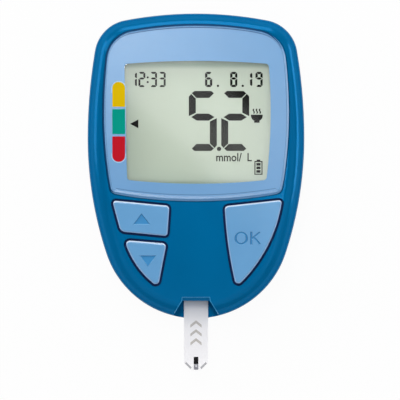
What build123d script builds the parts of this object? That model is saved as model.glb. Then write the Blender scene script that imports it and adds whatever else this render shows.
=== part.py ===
from build123d import *
import os
from math import atan, cos, hypot, sin, sqrt

# Handheld blood glucose meter, lying on its back. Millimetres.
# +X is to the right of the display, +Y is the display end, +Z comes up out of the display.
# The origin is on the resting plane, under the centre of the case.

os.makedirs("parts", exist_ok=True)

# ---------------------------------------------------------------- case outline, seen from the front
body_half_width = 28.1
body_top = 39.35
body_bottom = -39.7
widest_y = 7.1
crown_radius = 98.0
corner_radius = 9.7
upper_side_radius = 136.0
lower_side_radius = 95.0

# ---------------------------------------------------------------- case thickness and shells
case_height = 18.6          # top of the crowned face
parting_z = 8.6             # where the two shells meet
face_radius = 800.0         # crown of the face, in both directions
face_crown_y = 6.0
wall = 1.6
front_draft = 3.0           # degrees
rear_draft = 8.0
front_edge_radius = 4.0
rear_edge_radius = 4.5
parting_groove = 0.25       # depth and height of the shadow line between the shells
tongue_thickness = 0.65     # the rim on the rear shell that locates the front one
tongue_height = 0.8
tongue_clearance = 0.1
tongue_port_gap = 3.0       # the rim stops this far to each side of the port's walls
rim_band_width = 0.5        # thickening that the rim stands on
rim_band_height = 1.2

# ---------------------------------------------------------------- display panel
panel_side_rim = 4.1        # case edge to panel edge, at the widest place
panel_top_rim = 3.05
panel_height = 45.5
panel_widest_y = 13.3
panel_crown_radius = 91.0
panel_corner_radius = 8.0
panel_upper_side_radius = 130.0
panel_lower_side_radius = 108.0
panel_foot_corner_radius = 1.7
panel_foot_radius = 120.0
panel_gap = 0.3             # dark line round the panel
panel_proud = 0.3
bezel_thickness = 1.0
bezel_bevel = 0.4
ledge_width = 1.8           # the shelf in the front shell that carries the panel
ledge_thickness = 1.4
ledge_outer_wall = 0.6
adhesive_thickness = 0.2
adhesive_overhang = 0.1
window_plate_inset = 0.5
window_plate_thickness = 1.3    # at the middle, under the bezel
window_boss_root = 0.2
window_sink = 0.06          # window surface below the bezel surface
window_fit = 0.03

# panel edge to the corners of the viewing window, and how far its four sides bow out
window_top_margin = 10.1
window_foot_margin = 5.4
window_left_margin = 5.5
window_left_foot_margin = 6.2
window_right_margin = 5.2
window_right_foot_margin = 5.8
window_top_bow = 0.8
window_right_bow = 0.8
window_foot_bow = 1.0
window_left_bow = 0.1
window_corner_radius = 0.9

# ---------------------------------------------------------------- keys
key_side_rim = 6.4          # case edge to the up key's outer corner
ok_side_rim = 5.8           # case edge to the OK key's outer corner
key_tip_rim = 8.15          # case tip to the tips of the lower keys
key_row_gap = 2.15          # up key's outer foot corner to the down key
up_key_rise = 0.1           # outer top corner above the panel's lowest point
up_key_width = 14.85
up_key_slope = 1.4          # fall of the top side towards the middle of the case
up_key_length = 8.1
up_key_lean = 2.2           # the outer side leans in by this
up_key_foot_width = 12.1
up_key_foot_slope = 1.15
down_key_lean = 1.0
down_key_width = 10.9
down_key_slope = 0.9
down_key_tip = 8.7          # outer corner to tip, across
down_key_bow = 1.27
ok_key_rise = 0.25
ok_key_width = 14.9
ok_key_slope = 1.65
ok_key_tip = 11.9
ok_key_outer_bow = 2.25
ok_key_inner_bow = 0.52
key_small_radius = 0.75     # corners seen from the front
key_radius = 1.0
key_large_radius = 1.8

key_gap = 0.58              # dark line round each key
key_proud = 0.5
key_edge_radius = 0.5
key_wall = 1.2
key_tab = 0.85              # how far the retaining tabs reach under the face
key_tab_thickness = 1.2
key_tab_clearance = 0.15
up_tab_length = 4.4         # the tabs' extent along Y, level with the symbol
down_tab_length = 4.8
ok_tab_length = 11.5
key_post_radius = 1.7
key_post_gap = 0.02         # post to dome, at rest

symbol_depth = 0.25
triangle_half_width = 2.15
triangle_height = 2.85
letter_height = 3.4
letter_weight = 0.5
letter_gap = 0.65
letter_arm = 2.25           # reach of the K's arms
letter_arm_join = 0.75      # where the K's lower arm leaves the upper one
up_symbol_shift = -0.2      # symbol's middle to the right of the key's middle
up_symbol_rise = -0.1       # and above it
down_symbol_shift = -0.45
down_symbol_rise = -1.1
ok_symbol_shift = 0.35
ok_symbol_rise = -1.9

# ---------------------------------------------------------------- strip port
notch_depth = 4.6           # case tip to the back wall of the port notch
notch_side_room = 0.375     # notch beside the strip
notch_flare = 0.6           # sideways growth for each millimetre outwards
notch_floor_step = 0.4      # notch floor above the circuit board
notch_wall = 1.8
notch_block_side = 2.0      # solid to each side of the notch's walls
notch_bevel = 1.0
slot_side_room = 0.325
slot_height = 1.1

# ---------------------------------------------------------------- test strip
strip_width = 6.25
strip_length = 28.75
strip_insertion = 10.8      # reach behind the notch's back wall
strip_lift = 0.1            # strip above the notch floor
strip_base_thickness = 0.25
strip_film_thickness = 0.1
strip_tip_chamfer = 1.9
strip_bare_length = 5.2     # electrodes left bare at the inner end
channel_width = 0.9
reagent_length = 1.9
reagent_width = 1.2
reagent_setback = 1.5       # strip tip to the reagent pad
reagent_sink = 0.05
electrode_width = 0.75
electrode_pitch = 1.15
electrode_thickness = 0.03
electrode_end_margin = 0.3
electrode_count = 5

# ---------------------------------------------------------------- circuit board and display module
board_drop = 0.6            # board's underside below the parting plane
board_thickness = 1.0
board_edge_clearance = 1.0
board_port_setback = 2.7    # board's end behind the notch's back wall
board_bore_clearance = 0.3
boss_top_sink = 0.2         # bosses end this far below the panel's shelf

lcd_air_gap = 0.4           # window to polariser
lcd_view_margin = 0.2       # polariser beyond the window
lcd_film_inset = 0.2        # films inside the glass
lcd_contact_ledge = 2.5     # front glass beyond the rear glass
polariser_thickness = 0.2
lcd_glass_thickness = 0.8
reflector_thickness = 0.3
holder_wall = 0.8
holder_clearance = 0.1
holder_shelf = 1.0
holder_shelf_margin = 2.5
holder_ledge_gap = 0.2
holder_zebra_wall = 1.5
zebra_width = 1.8
zebra_inset = 1.0
zebra_end_margin = 0.2
zebra_clearance = 0.1

processor_width = 10.0
processor_height = 1.4
processor_x = 0.0
processor_y = 12.0
memory_width = 5.0
memory_length = 4.0
memory_height = 1.2
memory_x = 11.0
memory_y = 6.0
chip_bevel = 0.15
chip_mark_radius = 0.35
chip_mark_inset = 1.0
chip_mark_depth = 0.1

radio_x = -11.5
radio_y = 20.0
radio_width = 8.0
radio_length = 7.0
radio_base_thickness = 0.6
radio_can_inset = 0.5
radio_can_height = 1.4
radio_can_corner = 0.4

crystal_x = -10.0
crystal_y = 8.0
crystal_length = 7.0
crystal_width = 2.6
crystal_height = 1.8
crystal_edge = 0.3

small_part_length = 1.6
small_part_width = 0.8
small_part_height = 0.6
small_part_pitch_x = 3.2
small_part_pitch_y = 3.0
small_part_x = 10.8         # middle of the block of small parts
small_part_y = 18.0
small_part_columns = 4
small_part_rows = 3

sounder_x = 9.5
sounder_y = -20.5
sounder_radius = 5.0
sounder_height = 2.6
sounder_port_radius = 1.0
sounder_port_depth = 0.8

dome_radius = 3.1
dome_height = 0.5
dome_thickness = 0.15

# ---------------------------------------------------------------- strip connector
connector_gap = 1.4         # port wall to housing
connector_side = 1.15
connector_tail = 1.8        # housing beyond the strip's inner end
connector_height = 3.2
connector_roof = 0.7
connector_play = 0.15
finger_metal = 0.15         # contact fingers, bent from sheet
finger_width = 0.6
finger_reach = 2.6          # strip's inner end to where a finger touches it
finger_toe = 0.6
finger_toe_lift = 0.5
finger_rise = 1.4
finger_tail = 1.2
finger_root_gap = 0.15

# ---------------------------------------------------------------- coin cells and their contacts
cell_radius = 10.0
cell_height = 3.2
cell_half_spacing = 0.8     # half the gap between the two cells
cell_end_rim = 7.35         # case top to the cells
cell_clearance = 0.4
cell_can_rim = 0.7
cell_can_bevel = 0.3
cell_can_drop = 0.2         # can's rim below the cap
cell_seal_drop = 0.25
cell_seal_width = 0.5
cell_step = 0.7             # cap and seal depth below the cell's top
cell_cap_edge = 0.2
cell_pad_gap = 0.2
contact_space = 0.5         # cell's cap to the deck
contact_thickness = 0.2
contact_width = 3.0
contact_slot_clearance = 0.2
contact_leg_offset = 7.0    # cell's middle to the negative contact's leg
contact_overrun = 2.0
contact_dimple_radius = 0.9
contact_can_gap = 0.1
contact_foot_lift = 0.3

# ---------------------------------------------------------------- battery door and bay
door_clearance = 0.15
door_foot = 3.4             # door's lower edge beyond the bay's wall
door_end_height = 5.2
door_tongue = 0.8           # reach of the tongue under the shell
door_lip = 0.85             # shell thickness over the tongue
door_tongue_play = 0.1
door_tongue_setback = 2.0
groove_roof_setback = 3.0
groove_roof = 0.2
pad_thickness = 0.3
pad_length = 8.0
grip_width = 17.0
grip_length = 8.4
grip_depth = 0.5
grip_corner = 1.2
grip_setback = 4.0
grip_ribs = 5
grip_rib_width = 0.7
grip_rib_margin = 1.0
grip_rib_drop = 0.12        # rib tops below the door's face
arrow_gap = 2.0
arrow_length = 3.0
arrow_half_width = 2.6
arrow_depth = 0.25
bay_wall = 1.0
deck_thickness = 1.0

# ---------------------------------------------------------------- screws, standoffs, label
case_screw_port_gap = 7.5   # strip connector to the lower case screw
case_screw_ledge = 1.7      # panel's top edge to the upper case screw
case_screw_radius = 0.9
case_screw_head_radius = 1.8
case_screw_head_height = 1.2
case_screw_length = 9.8
case_boss_radius = 2.3
case_post_radius = 2.6
case_pillar_radius = 3.0
case_screw_seat_z = 4.0
board_screw_y = 8.0
board_screw_ledge = 1.0     # panel's side edge to a board screw
board_screw_radius = 0.7
board_screw_head_radius = 1.3
board_screw_head_height = 0.8
board_screw_length = 4.6
board_boss_radius = 1.6
screw_clearance = 0.25
thread_fit = 0.02
recess_half_width = 0.25    # cross recess in a screw's head
recess_reach_share = 0.65   # of the head's radius
recess_depth_share = 0.55   # of the head's height
head_bevel_share = 0.25
standoff_radius = 1.5
upper_standoff_rim = 7.6    # case's widest edge to a standoff
lower_standoff_rim = 8.6
upper_standoff_y = 2.0
lower_standoff_y = -14.0

label_width = 34.0
label_height = 11.5
label_y = -6.8
label_recess = 0.2
label_thickness = 0.12
label_corner = 1.5
label_gap = 0.2

# ---------------------------------------------------------------- places worked out from the above
board_bottom_z = parting_z - board_drop
board_top_z = board_bottom_z + board_thickness
inner_face_z = case_height - wall
bezel_face_z = case_height + panel_proud
window_bottom_z = bezel_face_z - bezel_thickness - window_plate_thickness
ledge_z = window_bottom_z - adhesive_thickness
ledge_bottom_z = ledge_z - ledge_thickness
boss_top_z = ledge_z - boss_top_sink
key_face_z = case_height + key_proud

panel_half_width = body_half_width - panel_side_rim
panel_top = body_top - panel_top_rim
panel_bottom = panel_top - panel_height
notch_y = body_bottom + notch_depth
notch_floor_z = board_top_z + notch_floor_step
notch_half_width = strip_width / 2 + notch_side_room
slot_half_width = strip_width / 2 + slot_side_room

strip_inserted_y = notch_y + strip_insertion
strip_tip_y = strip_inserted_y - strip_length
strip_film_back_y = strip_inserted_y - strip_bare_length
strip_bottom_z = notch_floor_z + strip_lift
film_bottom_z = strip_bottom_z + strip_base_thickness
cover_bottom_z = film_bottom_z + strip_film_thickness
strip_top_z = cover_bottom_z + strip_film_thickness

connector_front_y = notch_y + notch_wall + connector_gap
connector_back_y = strip_inserted_y + connector_tail
case_screw_places = [(0, connector_back_y + case_screw_port_gap), (0, panel_top - case_screw_ledge)]
board_screw_x = panel_half_width - board_screw_ledge
board_screw_places = [(-board_screw_x, board_screw_y), (board_screw_x, board_screw_y)]
standoff_places = [(side * (body_half_width - rim), y) for side in (-1, 1)
                   for rim, y in ((upper_standoff_rim, upper_standoff_y),
                                  (lower_standoff_rim, lower_standoff_y))]

above_everything = case_height + 5
far = 100.0                 # longer than the case, for cutting pieces
cut_through = 1.0           # how far a cutting piece passes a face


# ---------------------------------------------------------------- outlines
def touching_centre(centre_a, radius_a, centre_b, radius_b, radius, y_sign):
    # centre of the circle that touches two larger ones from inside, on the +X side
    reach_a = radius_a - radius
    reach_b = radius_b - radius
    dx = centre_b[0] - centre_a[0]
    dy = centre_b[1] - centre_a[1]
    span = hypot(dx, dy)
    along = (reach_a**2 - reach_b**2 + span**2) / (2 * span)
    across = sqrt(reach_a**2 - along**2)
    choices = [
        (centre_a[0] + (dx * along - side * dy * across) / span,
         centre_a[1] + (dy * along + side * dx * across) / span)
        for side in (1, -1)
    ]
    return max(choices, key=lambda point: point[0] + y_sign * point[1])


def touch_point(centre, radius, small_centre):
    # where a circle meets a smaller one that touches it from inside
    dx = small_centre[0] - centre[0]
    dy = small_centre[1] - centre[1]
    reach = radius / hypot(dx, dy)
    return (centre[0] + dx * reach, centre[1] + dy * reach)


def arc_about(centre, start, end):
    radius = hypot(start[0] - centre[0], start[1] - centre[1])
    dx = start[0] + end[0] - 2 * centre[0]
    dy = start[1] + end[1] - 2 * centre[1]
    reach = radius / hypot(dx, dy)
    return ThreePointArc(start, (centre[0] + dx * reach, centre[1] + dy * reach), end)


def mirrored(point):
    return (-point[0], point[1])


least_turn = 0.3            # smallest corner radius of an inset outline


def egg_face(inset, half_width, top, bottom, wide_y, r_crown, r_corner, r_upper, r_lower,
             r_foot_corner=None, r_foot=None):
    # A closed outline of tangent arcs, symmetric about Y. With no foot radius, one arc
    # that touches both sides closes the foot. The inset keeps every arc's centre.
    crown = (0, top - r_crown)
    upper = (half_width - r_upper, wide_y)
    lower = (half_width - r_lower, wide_y)
    corner = touching_centre(crown, r_crown, upper, r_upper, r_corner, 1)
    if r_corner - inset < least_turn:
        corner = touching_centre(crown, r_crown - inset, upper, r_upper - inset, least_turn, 1)
    from_crown = touch_point(crown, r_crown - inset, corner)
    to_side = touch_point(upper, r_upper - inset, corner)
    widest = (half_width - inset, wide_y)
    right = [(corner, from_crown, to_side), (upper, to_side, widest)]
    if r_foot is None:
        drop = bottom - wide_y
        foot_radius = (r_lower**2 - lower[0]**2 - drop**2) / (2 * (r_lower + drop))
        foot = (0, bottom + foot_radius)
        side_end = touch_point(lower, r_lower - inset, foot)
        right.append((lower, widest, side_end))
        foot_end = side_end
    else:
        foot = (0, bottom + r_foot)
        r_turn = max(r_foot_corner - inset, least_turn)
        turn = touching_centre(foot, r_foot - inset, lower, r_lower - inset, r_turn, -1)
        side_end = touch_point(lower, r_lower - inset, turn)
        foot_end = touch_point(foot, r_foot - inset, turn)
        right += [(lower, widest, side_end), (turn, side_end, foot_end)]
    edges = [arc_about(foot, mirrored(foot_end), foot_end)]
    edges += [arc_about(centre, end, start) for centre, start, end in reversed(right)]
    edges.append(arc_about(crown, from_crown, mirrored(from_crown)))
    edges += [arc_about(mirrored(centre), mirrored(start), mirrored(end))
              for centre, start, end in right]
    return make_face(edges)


def body_face(inset):
    return egg_face(inset, body_half_width, body_top, body_bottom, widest_y,
                    crown_radius, corner_radius, upper_side_radius, lower_side_radius)


def panel_face(inset):
    return egg_face(inset, panel_half_width, panel_top, panel_bottom, panel_widest_y,
                    panel_crown_radius, panel_corner_radius,
                    panel_upper_side_radius, panel_lower_side_radius,
                    panel_foot_corner_radius, panel_foot_radius)


def bowed_face(corners, bows, radii, grow=0.0):
    # Corners in clockwise order. Each side bows outwards by its own height, and each
    # corner is then rounded. A positive grow moves the whole outline outwards.
    sides = []
    for index, start in enumerate(corners):
        end = corners[(index + 1) % len(corners)]
        chord = hypot(end[0] - start[0], end[1] - start[1])
        along = ((end[0] - start[0]) / chord, (end[1] - start[1]) / chord)
        lean = 2 * atan(2 * bows[index] / chord)
        sides.append((chord, along, lean))

    def outward(side, sign):
        # the outward direction at a side's start (-1), middle (0) or end (+1)
        chord, along, lean = side
        return (-along[1] * cos(sign * lean) + along[0] * sin(sign * lean),
                along[0] * cos(sign * lean) + along[1] * sin(sign * lean))

    moved = []
    for index, corner in enumerate(corners):
        before = outward(sides[index - 1], 1)
        after = outward(sides[index], -1)
        reach = grow / (1 + before[0] * after[0] + before[1] * after[1])
        moved.append((corner[0] + (before[0] + after[0]) * reach,
                      corner[1] + (before[1] + after[1]) * reach))
    edges = []
    for index, start in enumerate(moved):
        end = moved[(index + 1) % len(moved)]
        if bows[index] == 0:
            edges.append(Line(start, end))
            continue
        chord = sides[index][0]
        bend = chord**2 / (8 * bows[index]) + bows[index] / 2 + grow
        half_chord = hypot(end[0] - start[0], end[1] - start[1]) / 2
        bow = bend - sqrt(bend**2 - half_chord**2)
        across = outward(sides[index], 0)
        edges.append(ThreePointArc(start, ((start[0] + end[0]) / 2 + across[0] * bow,
                                           (start[1] + end[1]) / 2 + across[1] * bow), end))
    face = make_face(edges)
    for corner, radius in zip(moved, radii):
        point = Vector(corner[0], corner[1], 0)
        vertex = min(face.vertices(), key=lambda v: (v.center() - point).length)
        face = fillet(vertex, max(radius + grow, least_turn))
    return face


def triangle(apex, base_y, half_base):
    return make_face(Polyline((apex[0] - half_base, base_y), (apex[0] + half_base, base_y), apex,
                              close=True))


def stroke(start, end, width):
    length = hypot(end[0] - start[0], end[1] - start[1])
    across = ((start[1] - end[1]) / length * width / 2, (end[0] - start[0]) / length * width / 2)
    return make_face(Polyline(
        (start[0] + across[0], start[1] + across[1]), (end[0] + across[0], end[1] + across[1]),
        (end[0] - across[0], end[1] - across[1]), (start[0] - across[0], start[1] - across[1]),
        close=True))


# ---------------------------------------------------------------- small solids
def slab(face, low, high):
    return extrude(Pos(0, 0, low) * face, high - low)


def block(x_low, x_high, y_low, y_high, z_low, z_high):
    size = (x_high - x_low, y_high - y_low, z_high - z_low)
    centre = ((x_low + x_high) / 2, (y_low + y_high) / 2, (z_low + z_high) / 2)
    return Pos(*centre) * Box(*size)


def block_about(x, y, width, length, z_low, z_high):
    return block(x - width / 2, x + width / 2, y - length / 2, y + length / 2, z_low, z_high)


def disc(x, y, radius, low, high):
    return Pos(x, y, (low + high) / 2) * Cylinder(radius, high - low)


def below_crown(top):
    # everything under a crowned surface parallel to the face
    return Pos(0, face_crown_y, top - face_radius) * Rot(90, 0, 0) * Sphere(face_radius)


def crown_edges(shape):
    return shape.faces().filter_by(GeomType.SPHERE).sort_by(Axis.Z)[-1].edges()


def top_edges(shape):
    return shape.faces().sort_by(Axis.Z)[-1].edges()


def bottom_edges(shape):
    return shape.faces().sort_by(Axis.Z)[0].edges()


def group(solids):
    return Compound(children=[piece.solid() for piece in solids])


def keep(name, shape):
    export_step(shape, f"parts/{name}.step")


# ---------------------------------------------------------------- case forms
def front_form(inset, top, edge_radius):
    prism = extrude(Pos(0, 0, parting_z) * body_face(inset), top - parting_z + cut_through,
                    taper=front_draft)
    dome = prism & below_crown(top)
    return fillet(crown_edges(dome), edge_radius)


def rear_form(inset, bottom, edge_radius):
    bowl = extrude(Pos(0, 0, parting_z) * body_face(inset), parting_z - bottom, taper=rear_draft)
    bowl = mirror(bowl, about=Plane.XY.offset(parting_z))
    return fillet(bottom_edges(bowl), edge_radius)


front_outer = front_form(0, case_height, front_edge_radius)
front_inner = front_form(wall, inner_face_z, front_edge_radius - wall)
rear_outer = rear_form(0, 0, rear_edge_radius)
rear_inner = rear_form(wall, wall, rear_edge_radius - wall)

# ---------------------------------------------------------------- window and key outlines
window_top_y = panel_top - window_top_margin
window_foot_y = panel_bottom + window_foot_margin
window_corners = [(window_left_margin - panel_half_width, window_top_y),
                  (panel_half_width - window_right_margin, window_top_y),
                  (panel_half_width - window_right_foot_margin, window_foot_y),
                  (window_left_foot_margin - panel_half_width, window_foot_y)]
window_bows = (window_top_bow, window_right_bow, window_foot_bow, window_left_bow)


def window_face(grow=0.0):
    return bowed_face(window_corners, window_bows, [window_corner_radius] * 4, grow)


up_outer = (key_side_rim - body_half_width, panel_bottom + up_key_rise)
up_foot = (up_outer[0] + up_key_lean, up_outer[1] - up_key_length)
down_outer = (up_foot[0] + down_key_lean, up_foot[1] - key_row_gap)
ok_outer = (body_half_width - ok_side_rim, panel_bottom + ok_key_rise)
lower_tip_y = body_bottom + key_tip_rim

up_corners = [up_outer,
              (up_outer[0] + up_key_width, up_outer[1] - up_key_slope),
              (up_foot[0] + up_key_foot_width, up_foot[1] - up_key_foot_slope),
              up_foot]
down_corners = [down_outer,
                (down_outer[0] + down_key_width, down_outer[1] - down_key_slope),
                (down_outer[0] + down_key_tip, lower_tip_y)]
ok_corners = [(ok_outer[0] - ok_key_width, ok_outer[1] - ok_key_slope),
              ok_outer,
              (ok_outer[0] - ok_key_tip, lower_tip_y)]


def middle(corners):
    return (sum(x for x, y in corners) / len(corners), sum(y for x, y in corners) / len(corners))


def up_triangle(x, y):
    return triangle((x, y + triangle_height / 2), y - triangle_height / 2, triangle_half_width)


def down_triangle(x, y):
    return triangle((x, y - triangle_height / 2), y + triangle_height / 2, triangle_half_width)


def ok_letters(x, y):
    # a round O and a K, side by side about (x, y)
    half = letter_height / 2
    letters = Pos(x - half - letter_gap / 2, y) * (Circle(half) - Circle(half - letter_weight))
    stem_x = x + letter_gap / 2 + letter_weight / 2
    inner = half - letter_weight / 4        # centre lines of the arms end inside the corners
    letters += stroke((stem_x, y - half), (stem_x, y + half), letter_weight)
    letters += stroke((stem_x, y - letter_weight / 2), (stem_x + letter_arm, y + inner), letter_weight)
    letters += stroke((stem_x + letter_arm_join, y + letter_weight / 2),
                      (stem_x + letter_arm, y - inner), letter_weight)
    return letters


up_radii = (key_small_radius, key_radius, key_small_radius, key_large_radius)
down_radii = (key_radius, key_radius, key_radius)
ok_radii = (key_radius, key_small_radius, key_radius)

key_outlines = {
    "up": (up_corners, (0, 0, 0, 0), up_radii),
    "down": (down_corners, (0, 0, down_key_bow), down_radii),
    "ok": (ok_corners, (0, ok_key_outer_bow, ok_key_inner_bow), ok_radii),
}


# ---------------------------------------------------------------- front shell
def port_notch():
    # flared sideways towards the case tip, open upwards, with a bevelled back edge
    out = notch_depth + cut_through
    flare = out * notch_flare
    plan = make_face(Polyline(
        (-notch_half_width, notch_y), (notch_half_width, notch_y),
        (notch_half_width + flare, notch_y - out), (-notch_half_width - flare, notch_y - out),
        close=True))
    face_z = case_height - (notch_y - face_crown_y)**2 / (2 * face_radius)
    over = face_z + cut_through
    bevel = make_face(Plane.YZ * Polyline(
        (notch_y - cut_through, over), (notch_y + notch_bevel + cut_through, over),
        (notch_y - cut_through, face_z - notch_bevel - cut_through), close=True))
    return slab(plan, notch_floor_z, above_everything) + extrude(bevel, notch_half_width, both=True)


def tongue_ring(clearance, height):
    # the rim that locates one shell in the other, interrupted at the strip port
    inner = wall - tongue_thickness - clearance
    band = slab(body_face(inner) - body_face(wall + clearance), parting_z, parting_z + height)
    half = notch_half_width + notch_wall + tongue_port_gap - clearance
    return band - block(-half, half, -far, notch_y + notch_wall + tongue_port_gap, 0, far)


def screw_bore(place, radius, tip):
    return disc(place[0], place[1], radius + thread_fit, board_top_z - cut_through,
                tip + screw_clearance)


def make_front_shell():
    shell = front_outer - front_inner
    ledge = panel_face(-panel_gap - ledge_outer_wall) - panel_face(ledge_width)
    shell += slab(ledge, ledge_bottom_z, case_height) & front_outer
    for x, y in case_screw_places:
        shell += disc(x, y, case_boss_radius, board_top_z, boss_top_z)
    lower_x, lower_y = case_screw_places[0]
    shell += disc(lower_x, lower_y, case_boss_radius, board_top_z, inner_face_z)
    for x, y in board_screw_places:
        shell += disc(x, y, board_boss_radius, board_top_z, boss_top_z)
    half = notch_half_width + notch_wall + notch_block_side
    shell += block(-half, half, -far, notch_y + notch_wall, parting_z, above_everything) & front_outer
    shell -= slab(panel_face(-panel_gap), ledge_z, above_everything)
    shell -= port_notch()
    shell -= block(-slot_half_width, slot_half_width, notch_y - cut_through,
                   notch_y + notch_wall + cut_through, notch_floor_z, notch_floor_z + slot_height)
    for outline in key_outlines.values():
        shell -= slab(bowed_face(*outline, key_gap), ledge_bottom_z - cut_through, above_everything)
    shell -= tongue_ring(tongue_clearance, tongue_height + tongue_clearance)
    for place in case_screw_places:
        shell -= screw_bore(place, case_screw_radius, case_screw_seat_z + case_screw_length)
    for place in board_screw_places:
        shell -= screw_bore(place, board_screw_radius, board_bottom_z + board_screw_length)
    return shell


keep("front_shell", make_front_shell())

# ---------------------------------------------------------------- places in the battery bay
cell_x = cell_radius + cell_half_spacing
cell_y = body_top - cell_end_rim - cell_radius
cell_bottom_z = wall + pad_thickness + cell_pad_gap
cell_top_z = cell_bottom_z + cell_height
deck_z = cell_top_z + contact_space

bay_half_width = cell_x + cell_radius + cell_clearance
bay_low_y = cell_y - cell_radius - cell_clearance - contact_thickness
bay_high_y = cell_y + cell_radius + cell_clearance
door_start_y = bay_low_y - bay_wall - door_foot
door_half_width = bay_half_width
tongue_half_width = door_half_width + door_tongue
groove_half_width = tongue_half_width + door_clearance
bay_outer_x = groove_half_width + bay_wall
groove_top_z = wall + door_tongue_play
pad_passage_z = wall + pad_thickness + door_clearance   # the pad slides out under this


def negative_contact(side, grow=0.0):
    # blade under the deck with a dimple on the cell's cap, and a leg up to the board
    x = side * cell_x
    half = contact_width / 2
    leg_y = cell_y - contact_leg_offset
    blade_z = deck_z - contact_thickness
    leg = block(x - half - grow, x + half + grow, leg_y - contact_thickness - grow, leg_y + grow,
                blade_z, board_bottom_z)
    if grow:
        return leg
    blade = block(x - half, x + half, leg_y - contact_thickness, cell_y + contact_overrun, blade_z, deck_z)
    return leg + blade + disc(x, cell_y, contact_dimple_radius, cell_top_z, blade_z)


def positive_contact(side, grow=0.0):
    # upright blade beside the cell's can
    x = side * cell_x
    half = contact_width / 2
    y = cell_y - cell_radius - contact_can_gap
    low = deck_z - contact_slot_clearance if grow else cell_bottom_z + contact_foot_lift
    return block(x - half - grow, x + half + grow, y - contact_thickness - grow, y + grow,
                 low, board_bottom_z)


# ---------------------------------------------------------------- battery door
def make_door():
    skin = (rear_outer - rear_inner) & block(
        -door_half_width, door_half_width, door_start_y, far, -cut_through, door_end_height)
    door = skin + block(-tongue_half_width, tongue_half_width, door_start_y - door_tongue,
                        bay_high_y - door_tongue_setback, door_lip + door_tongue_play, wall)
    grip_y = door_start_y + grip_setback + grip_length / 2
    grip = Pos(0, grip_y) * RectangleRounded(grip_width, grip_length, grip_corner)
    door -= slab(grip, -cut_through, grip_depth)
    pitch = grip_length / (grip_ribs + 1)
    for index in range(grip_ribs):
        rib_y = grip_y + pitch * (index - (grip_ribs - 1) / 2)
        door += block_about(0, rib_y, grip_width - 2 * grip_rib_margin, grip_rib_width,
                            grip_rib_drop, grip_depth)
    arrow_y = grip_y + grip_length / 2 + arrow_gap
    arrow = triangle((0, arrow_y + arrow_length), arrow_y, arrow_half_width)
    return door - slab(arrow, -cut_through, arrow_depth)


keep("battery_door", make_door())
keep("door_pad", block_about(0, cell_y, 2 * cell_x, pad_length, wall, wall + pad_thickness))


# ---------------------------------------------------------------- rear shell
def make_bay():
    # walls round the cells, hung from the deck that carries the board
    bay = block(-bay_outer_x, bay_outer_x, bay_low_y - bay_wall, bay_high_y + bay_wall,
                groove_top_z, deck_z)
    bay -= block(-bay_half_width, bay_half_width, bay_low_y, bay_high_y, 0, deck_z)
    bay -= block(-bay_half_width, bay_half_width, cell_y, far, 0, pad_passage_z)
    upper_x, upper_y = case_screw_places[1]
    bay += disc(upper_x, upper_y, case_post_radius, pad_passage_z, deck_z)
    bay = bay & rear_form(wall + door_clearance, groove_top_z, rear_edge_radius - wall)
    for side in (-1, 1):
        low_x, high_x = sorted((side * groove_half_width, side * bay_outer_x))
        bay += block(low_x, high_x, bay_low_y - bay_wall, bay_high_y - groove_roof_setback,
                     door_lip, groove_top_z + groove_roof)
    deck = block(-bay_outer_x, bay_outer_x, bay_low_y - bay_wall, far, deck_z, deck_z + deck_thickness)
    return bay + (deck & rear_outer)


def rim_band():
    # thickens the rim inwards so that the locating tongue stands on it
    band = body_face(wall - tongue_thickness) - body_face(wall + rim_band_width)
    return slab(band, parting_z - rim_band_height, parting_z)


def label_face(inset):
    return Pos(0, label_y) * RectangleRounded(label_width - 2 * inset, label_height - 2 * inset,
                                              label_corner - inset)


def make_rear_shell():
    shell = rear_outer - rear_inner
    # the top edge stands back a little, as a shadow line under the front shell
    shell -= slab(body_face(-cut_through) - body_face(parting_groove), parting_z - parting_groove,
                  parting_z + cut_through)
    shell += tongue_ring(0, tongue_height)
    shell += rim_band()
    opening = door_half_width + door_clearance
    shell -= block(-opening, opening, door_start_y - door_clearance, far, -cut_through,
                   door_end_height + door_clearance)
    shell -= block(-groove_half_width, groove_half_width, door_start_y - door_tongue - door_clearance,
                   far, door_lip, groove_top_z)
    shell += make_bay()
    lower_x, lower_y = case_screw_places[0]
    upper_x, upper_y = case_screw_places[1]
    shell += disc(lower_x, lower_y, case_pillar_radius, wall / 2, board_bottom_z)
    shell += disc(upper_x, upper_y, case_post_radius, deck_z, board_bottom_z)
    for x, y in standoff_places:
        shell += disc(x, y, standoff_radius, wall / 2, board_bottom_z)
    for x, y in case_screw_places:
        shell -= disc(x, y, case_screw_head_radius + screw_clearance, -cut_through, case_screw_seat_z)
        shell -= disc(x, y, case_screw_radius + screw_clearance, 0, far)
    for side in (-1, 1):
        shell -= negative_contact(side, contact_slot_clearance)
        shell -= positive_contact(side, contact_slot_clearance)
    return shell - slab(label_face(0), -cut_through, label_recess)


keep("rear_shell", make_rear_shell())
keep("rear_label", slab(label_face(label_gap), label_recess - label_thickness, label_recess))
keep("negative_contacts", group([negative_contact(-1), negative_contact(1)]))
keep("positive_contacts", group([positive_contact(-1), positive_contact(1)]))


# ---------------------------------------------------------------- coin cells
def make_cell(name, x):
    # can below (towards the door), cap above, and the seal ring that parts them
    step_z = cell_top_z - cell_step
    bore = cell_radius - cell_can_rim
    can = disc(x, cell_y, cell_radius, cell_bottom_z, cell_top_z - cell_can_drop)
    can = chamfer(top_edges(can), cell_can_bevel)
    can = fillet(bottom_edges(can), cell_can_bevel)
    keep(name + "_can", can - disc(x, cell_y, bore, step_z, far))
    cap_radius = bore - cell_seal_width
    cap = disc(x, cell_y, cap_radius, step_z, cell_top_z)
    keep(name + "_cap", fillet(top_edges(cap), cell_cap_edge))
    seal = disc(x, cell_y, bore, step_z, cell_top_z - cell_seal_drop)
    keep(name + "_seal", seal - disc(x, cell_y, cap_radius, 0, far))


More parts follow.
